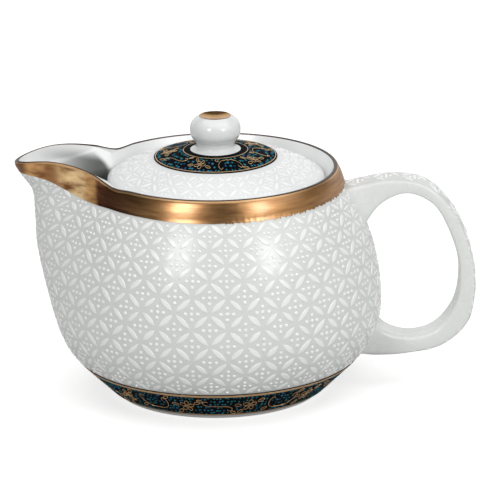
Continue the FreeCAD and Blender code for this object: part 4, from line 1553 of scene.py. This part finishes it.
# %% Lid dome and ring
LID_RADIUS = 40.0 * MM
LID_SEAT_Z = 79.8 * MM
LID_EDGE_Z = 81.2 * MM
LID_TOP_Z = 91.8 * MM
LID_WALL = 3.0 * MM
LID_RISE = LID_TOP_Z - LID_EDGE_Z
LID_DOME = (LID_RADIUS ** 2 + LID_RISE ** 2) / (2 * LID_RISE)
LID_CENTRE_Z = LID_TOP_Z - LID_DOME
BEZEL_RADIUS = 33.4 * MM
BEZEL_WALL = 2.6 * MM
BEZEL_DEPTH = 5.5 * MM
BEZEL_ROUNDING = 0.9 * MM
DOME_ROWS = 28
DOME_UNDER_ROWS = 12
# The lid's upper edge is eased in two steps, and its lower edge in one
EDGE_STEP = 0.12 * MM
EDGE_DROP = 0.5 * MM
EDGE_BREAK = 0.3 * MM


def dome_z(radius, lift=0.0):
    return LID_CENTRE_Z + math.sqrt((LID_DOME + lift) ** 2 - radius ** 2)


def on_dome(angle, radius, proud):
    """A point of the lid's top at an angle and a radius, at a height off it."""
    outward = radius / LID_DOME
    z = dome_z(radius) + proud * math.sqrt(1 - outward ** 2)
    return polar(radius + proud * outward, angle, z)


bezel_inner = BEZEL_RADIUS - BEZEL_WALL
edge_z = dome_z(LID_RADIUS)
dome_top = [(radius, dome_z(radius)) for radius in rows_between(0.0, LID_RADIUS - EDGE_DROP, DOME_ROWS)]
dome_edge = [(LID_RADIUS - EDGE_STEP, edge_z - EDGE_STEP), (LID_RADIUS, edge_z - EDGE_DROP),
             (LID_RADIUS, LID_SEAT_Z + EDGE_BREAK), (LID_RADIUS - EDGE_BREAK, LID_SEAT_Z),
             (bezel_inner, LID_SEAT_Z)]
dome_under = [(radius, dome_z(radius, -LID_WALL))
              for radius in rows_between(bezel_inner, 0.0, DOME_UNDER_ROWS)]
lid_bm = spun(dome_top + dome_edge + dome_under, closed=False)
piece("lid", lid_bm, lid_glaze, "lid", "porcelain", "lid_dome")

bezel_low = LID_SEAT_Z - BEZEL_DEPTH
bezel_profile = rounded([(bezel_inner, bezel_low, BEZEL_ROUNDING), (BEZEL_RADIUS, bezel_low, BEZEL_ROUNDING),
                         (BEZEL_RADIUS, LID_SEAT_Z, 0.0), (bezel_inner, LID_SEAT_Z, 0.0)])
piece("lid_ring", spun(bezel_profile), lid_glaze, "lid", "porcelain", "lid_bezel")

# %% Relief on the lid
LID_COLUMNS = 24
LID_NET_INNER = 24.4 * MM
LID_NET_OUTER = 38.6 * MM
LID_NET_STEPS = 60
LID_NET_ROWS = (0, 3)
LID_TILE_RADIUS = 32 * MM
LID_TILE = 2 * math.pi * LID_TILE_RADIUS / LID_COLUMNS
LID_DOT_SPACING = 1.55 * MM
# Rows that petals and dots keep from the net's edges. The dots' columns start early, so that none is double
LID_PETAL_MARGIN = 0.2
LID_DOT_MARGIN = 0.06
LID_DOT_BACK = 0.4
lid_rows = []
row = 0.0
for radius in rows_between(LID_NET_INNER, LID_NET_OUTER, LID_NET_STEPS):
    lid_rows.append((row, radius))
    row += (LID_NET_OUTER - LID_NET_INNER) / LID_NET_STEPS / radius * LID_COLUMNS / (2 * math.pi)
radius_of_row = through(lid_rows)
last_row = lid_rows[-1][0]
lid_petal = petal_template("lid_petal", LID_TILE, SLIM_PETAL, height=0.20 * MM)
lid_dot = dot_template("lid_dot", radius=0.45 * MM, height=0.28 * MM)


def on_lid_net(column, row, proud):
    return on_dome(2 * math.pi * column / LID_COLUMNS, radius_of_row(row), proud)


lid_petal_spots = [spot for spot in net_petals((0, LID_COLUMNS), LID_NET_ROWS)
                   if spot[0] < LID_COLUMNS and LID_PETAL_MARGIN < spot[1] < last_row - LID_PETAL_MARGIN]
lid_petal_bm = laid(lid_petal, lid_petal_spots, petals_on(on_lid_net, LID_TILE))
piece("lid_petals", lid_petal_bm, lid_relief_glaze, "lid", "porcelain")
lid_dot_spots = [spot for spot in net_dots((0, LID_COLUMNS), LID_NET_ROWS, LID_DOT_SPACING / LID_TILE)
                 if -LID_DOT_BACK < spot[0] < LID_COLUMNS - LID_DOT_BACK
                 and LID_DOT_MARGIN < spot[1] < last_row - LID_DOT_MARGIN]
lid_dot_bm = laid(lid_dot, lid_dot_spots, dots_on(on_lid_net, LID_TILE))
piece("lid_dots", lid_dot_bm, lid_relief_glaze, "lid", "porcelain")

# %% Lid band
LID_BAND_INNER = 9.3 * MM
LID_BAND_OUTER = 22.7 * MM
LID_OUTER_LINE = 0.26 * MM
LID_OUTER_INSET = 0.5 * MM
LID_INNER_LINE = 0.24 * MM
LID_INNER_LINE_RADIUS = 11.7 * MM
LID_GROUND_ROWS = 10
LID_SPRAYS = 10
LID_SPRAY_SIZE = 6.6 * MM
LID_THREAD = 0.085 * MM
LID_DROPS_ABOVE = 1.3 * MM
LID_DROPS_BELOW = 1.8 * MM
LID_DROP_CLEARANCE = 0.68 * MM

lid_ground_bm = band_strip(on_dome, LID_BAND_OUTER, LID_BAND_INNER, LID_GROUND_ROWS)
piece("lid_band_ground", lid_ground_bm, dark_enamel, "lid", "dark_enamel", "lid_enamel_band")
outer_line = LID_BAND_OUTER - LID_OUTER_INSET
lid_line_bm = band_lines(on_dome, (outer_line, outer_line - LID_OUTER_LINE),
                         (LID_INNER_LINE_RADIUS + LID_INNER_LINE, LID_INNER_LINE_RADIUS))
piece("lid_band_lines", lid_line_bm, lid_line_gold_painted_highlight, "lid", "gold", "lid_gold_lines")

lid_middle = (LID_INNER_LINE_RADIUS + LID_BAND_OUTER) / 2
lid_drawing = sprays(LID_SPRAYS, lid_middle, lid_middle, LID_SPRAY_SIZE)
lid_spray_bm = threads("lid_scrolls", *lid_drawing, on_dome, LID_THREAD)
lid_drops_low = LID_INNER_LINE_RADIUS + LID_DROPS_ABOVE
lid_drops_high = LID_BAND_OUTER - LID_DROPS_BELOW
lid_drop_bm = drops_between(on_dome, lid_drops_low, lid_drops_high, lid_spray_bm, LID_DROP_CLEARANCE)
piece("lid_band_sprays", lid_spray_bm, lid_line_gold_painted_highlight, "lid", "gold")
piece("lid_band_drops", lid_drop_bm, blue_drops, "lid", "dark_enamel")

# %% Knob
KNOB_BASE_RADIUS = 9.3 * MM
KNOB_NECK_RADIUS = 7.1 * MM
KNOB_NECK_Z = LID_TOP_Z + 3.0 * MM
KNOB_RADIUS = 9.3 * MM
KNOB_TOP_Z = LID_TOP_Z + 12.4 * MM
KNOB_SINK = 0.3 * MM
KNOB_CREASE = 0.25 * MM
KNOB_STEPS = 96
FLARE_ROWS = 12
BALL_ROWS = 22
DISH_RADIUS = 5.8 * MM
DISH_DEPTH = 0.92 * MM
DISH_ROWS = 8
GILDING = 0.12 * MM
# Shares of the height of the flare and of the ball, with the radius there
FLARE = [(0.0, KNOB_BASE_RADIUS), (0.10, 8.3 * MM), (0.3, 7.3 * MM), (0.6, KNOB_NECK_RADIUS), (1.0, 7.3 * MM)]
BALL = [(0.0, 7.8 * MM), (0.17, 8.85 * MM), (0.42, KNOB_RADIUS), (0.70, 8.85 * MM), (0.86, 7.75 * MM),
        (0.955, 6.65 * MM), (1.0, DISH_RADIUS + 0.1 * MM)]


def turned_part(curve, low, high, rows):
    """Points (radius, z) of a curve's radius from a low to a high place."""
    radius_at = through(curve)
    return [(radius_at(i / rows), blend(low, high, i / rows)) for i in range(rows + 1)]


def dish_points(lift):
    """Points from the rim of the dish down to its middle."""
    shares = [1 - i / DISH_ROWS for i in range(DISH_ROWS + 1)]
    return [(DISH_RADIUS * share, KNOB_TOP_Z + lift - DISH_DEPTH * (1 - share ** 2)) for share in shares]


base_z = dome_z(KNOB_BASE_RADIUS)
knob_profile = [(0.0, base_z - KNOB_SINK), (KNOB_BASE_RADIUS, base_z - KNOB_SINK)]
knob_profile += turned_part(FLARE, base_z + KNOB_SINK, KNOB_NECK_Z, FLARE_ROWS)
knob_profile += turned_part(BALL, KNOB_NECK_Z + KNOB_CREASE, KNOB_TOP_Z, BALL_ROWS)
knob_profile += dish_points(0.0)[1:]
knob_bm = spun(knob_profile, closed=False, steps=KNOB_STEPS)
piece("knob", knob_bm, knob_glaze, "lid", "porcelain", "lid_knob")

dish_top = dish_points(GILDING)
dish_under = [(radius, z - 2 * GILDING) for radius, z in reversed(dish_top)]
dish_bm = spun(dish_top + dish_under[1:], closed=False, steps=KNOB_STEPS)
piece("knob_dish", dish_bm, dish_gold, "lid", "gold", "knob_gold_dish")

# %% [markdown]
# ## Infuser
# A flange rests on the ledge in the mouth, a collar hangs from it, and a cup of woven wire hangs from the
# collar, with a sheet band round its bottom edge and a lap seam down one side. The weave is real: every
# upright wire goes in and out round the hoops. The wires are curves with a square section, which become one
# mesh.

# %% Infuser sheet parts
FLANGE_RADIUS = 40.2 * MM
FLANGE_TOP_Z = 79.8 * MM
SHEET = 0.6 * MM
COLLAR_HEIGHT = 6.0 * MM
CUP_DEPTH = 43.0 * MM
CUP_TAPER = 2.4 * MM
BASE_BAND_HEIGHT = 3.0 * MM
SEAM_WIDTH = 3.0 * MM
SEAM_THICKNESS = 0.4 * MM
SEAM_SINK = 0.1 * MM
SEAM_BEVEL = 0.12 * MM
EASE = 0.2 * MM
cup_top = SEAT_Z - COLLAR_HEIGHT
cup_low = SEAT_Z - CUP_DEPTH
cup_inner = CUP_RADIUS - SHEET


def cup_radius(z):
    return CUP_RADIUS - CUP_TAPER * (cup_top - z) / (cup_top - cup_low)


band_high = cup_low + BASE_BAND_HEIGHT
low_radius, high_radius = cup_radius(cup_low), cup_radius(band_high)
rim_corners = [(cup_inner, SEAT_Z, 0.0), (FLANGE_RADIUS, SEAT_Z, EASE), (FLANGE_RADIUS, FLANGE_TOP_Z, EASE),
               (cup_inner, FLANGE_TOP_Z, EASE)]
neck_corners = [(cup_inner, cup_top, EASE), (CUP_RADIUS, cup_top, EASE), (CUP_RADIUS, SEAT_Z, 0.0),
                (cup_inner, SEAT_Z, 0.0)]
base_corners = [(low_radius - SHEET, cup_low, EASE), (low_radius, cup_low, EASE),
                (high_radius, band_high, EASE), (high_radius - SHEET, band_high, EASE)]
for name, corners, node in (("infuser_rim", rim_corners, "infuser_flange"),
                            ("infuser_neck", neck_corners, "infuser_collar"),
                            ("infuser_base", base_corners, "infuser_base_band")):
    piece(name, spun(rounded(corners)), sheet_steel, "infuser", "steel", node)

seam_bm = bmesh.new()
bmesh.ops.create_cube(seam_bm, size=1.0)
for vert in seam_bm.verts:
    z = cup_top if vert.co.z > 0 else band_high
    x = cup_radius(z) + (SEAM_THICKNESS if vert.co.x > 0 else -SEAM_SINK)
    vert.co = Vector((x, vert.co.y * SEAM_WIDTH, z))
bmesh.ops.bevel(seam_bm, geom=seam_bm.edges[:], offset=SEAM_BEVEL, offset_type="OFFSET", affect="EDGES",
                segments=2, profile=0.5, material=-1)
piece("infuser_lap_seam", seam_bm, sheet_steel, "infuser", "steel", "infuser_seam")

# %% Woven cup
WIRE = 0.16 * MM
WIRE_END = 0.5 * MM
HOOPS = 22
HOOP_POINTS = 96
UPRIGHT_PAIRS = 66
FLOOR_PITCH = 1.5 * MM
FLOOR_INSET = SHEET * 0.6
FLOOR_SWAY = 0.8 * WIRE


def swayed(amount, count):
    """In and out by turns."""
    return amount if count % 2 == 0 else -amount


def weave(name, lines, closed=False):
    return wires(name, lines, WIRE, 0, closed)


hoop_heights = [blend(band_high, cup_top, (k + 0.5) / HOOPS) for k in range(HOOPS)]
upright_heights = [band_high - WIRE_END] + hoop_heights + [cup_top + WIRE_END]
uprights = []
for upright in range(2 * UPRIGHT_PAIRS):
    angle = math.pi / UPRIGHT_PAIRS * upright
    uprights.append([polar(cup_radius(z) - SHEET / 2 + swayed(WIRE, k + upright), angle, z)
                     for k, z in enumerate(upright_heights)])
hoops = [[polar(cup_radius(z) - SHEET / 2, 2 * math.pi * k / HOOP_POINTS, z) for k in range(HOOP_POINTS)]
         for z in hoop_heights]
weave_bm = bmesh.new()
weave_bm.from_mesh(weave("uprights", uprights))
weave_bm.from_mesh(weave("hoops", hoops, closed=True))
piece("infuser_woven_wall", weave_bm, wire_steel, "infuser", "steel_mesh", "infuser_mesh_wall")

floor_wires = []
floor_radius = cup_radius(cup_low) - FLOOR_INSET
floor_count = int(floor_radius / FLOOR_PITCH)
for k in range(-floor_count, floor_count + 1):
    offset = k * FLOOR_PITCH
    half_length = math.sqrt(floor_radius ** 2 - offset ** 2)
    steps = max(2, int(half_length / FLOOR_PITCH))
    for across in (0, 1):
        points = []
        for i in range(-steps, steps + 1):
            run = half_length * i / steps
            x, y = (run, offset) if across == 0 else (offset, run)
            points.append(Vector((x, y, cup_low + SHEET / 2 + swayed(FLOOR_SWAY, i + k + across))))
        floor_wires.append(points)
floor_bm = bmesh.new()
floor_bm.from_mesh(weave("floor_wires", floor_wires))
piece("infuser_woven_floor", floor_bm, wire_steel, "infuser", "steel_mesh", "infuser_mesh_floor")
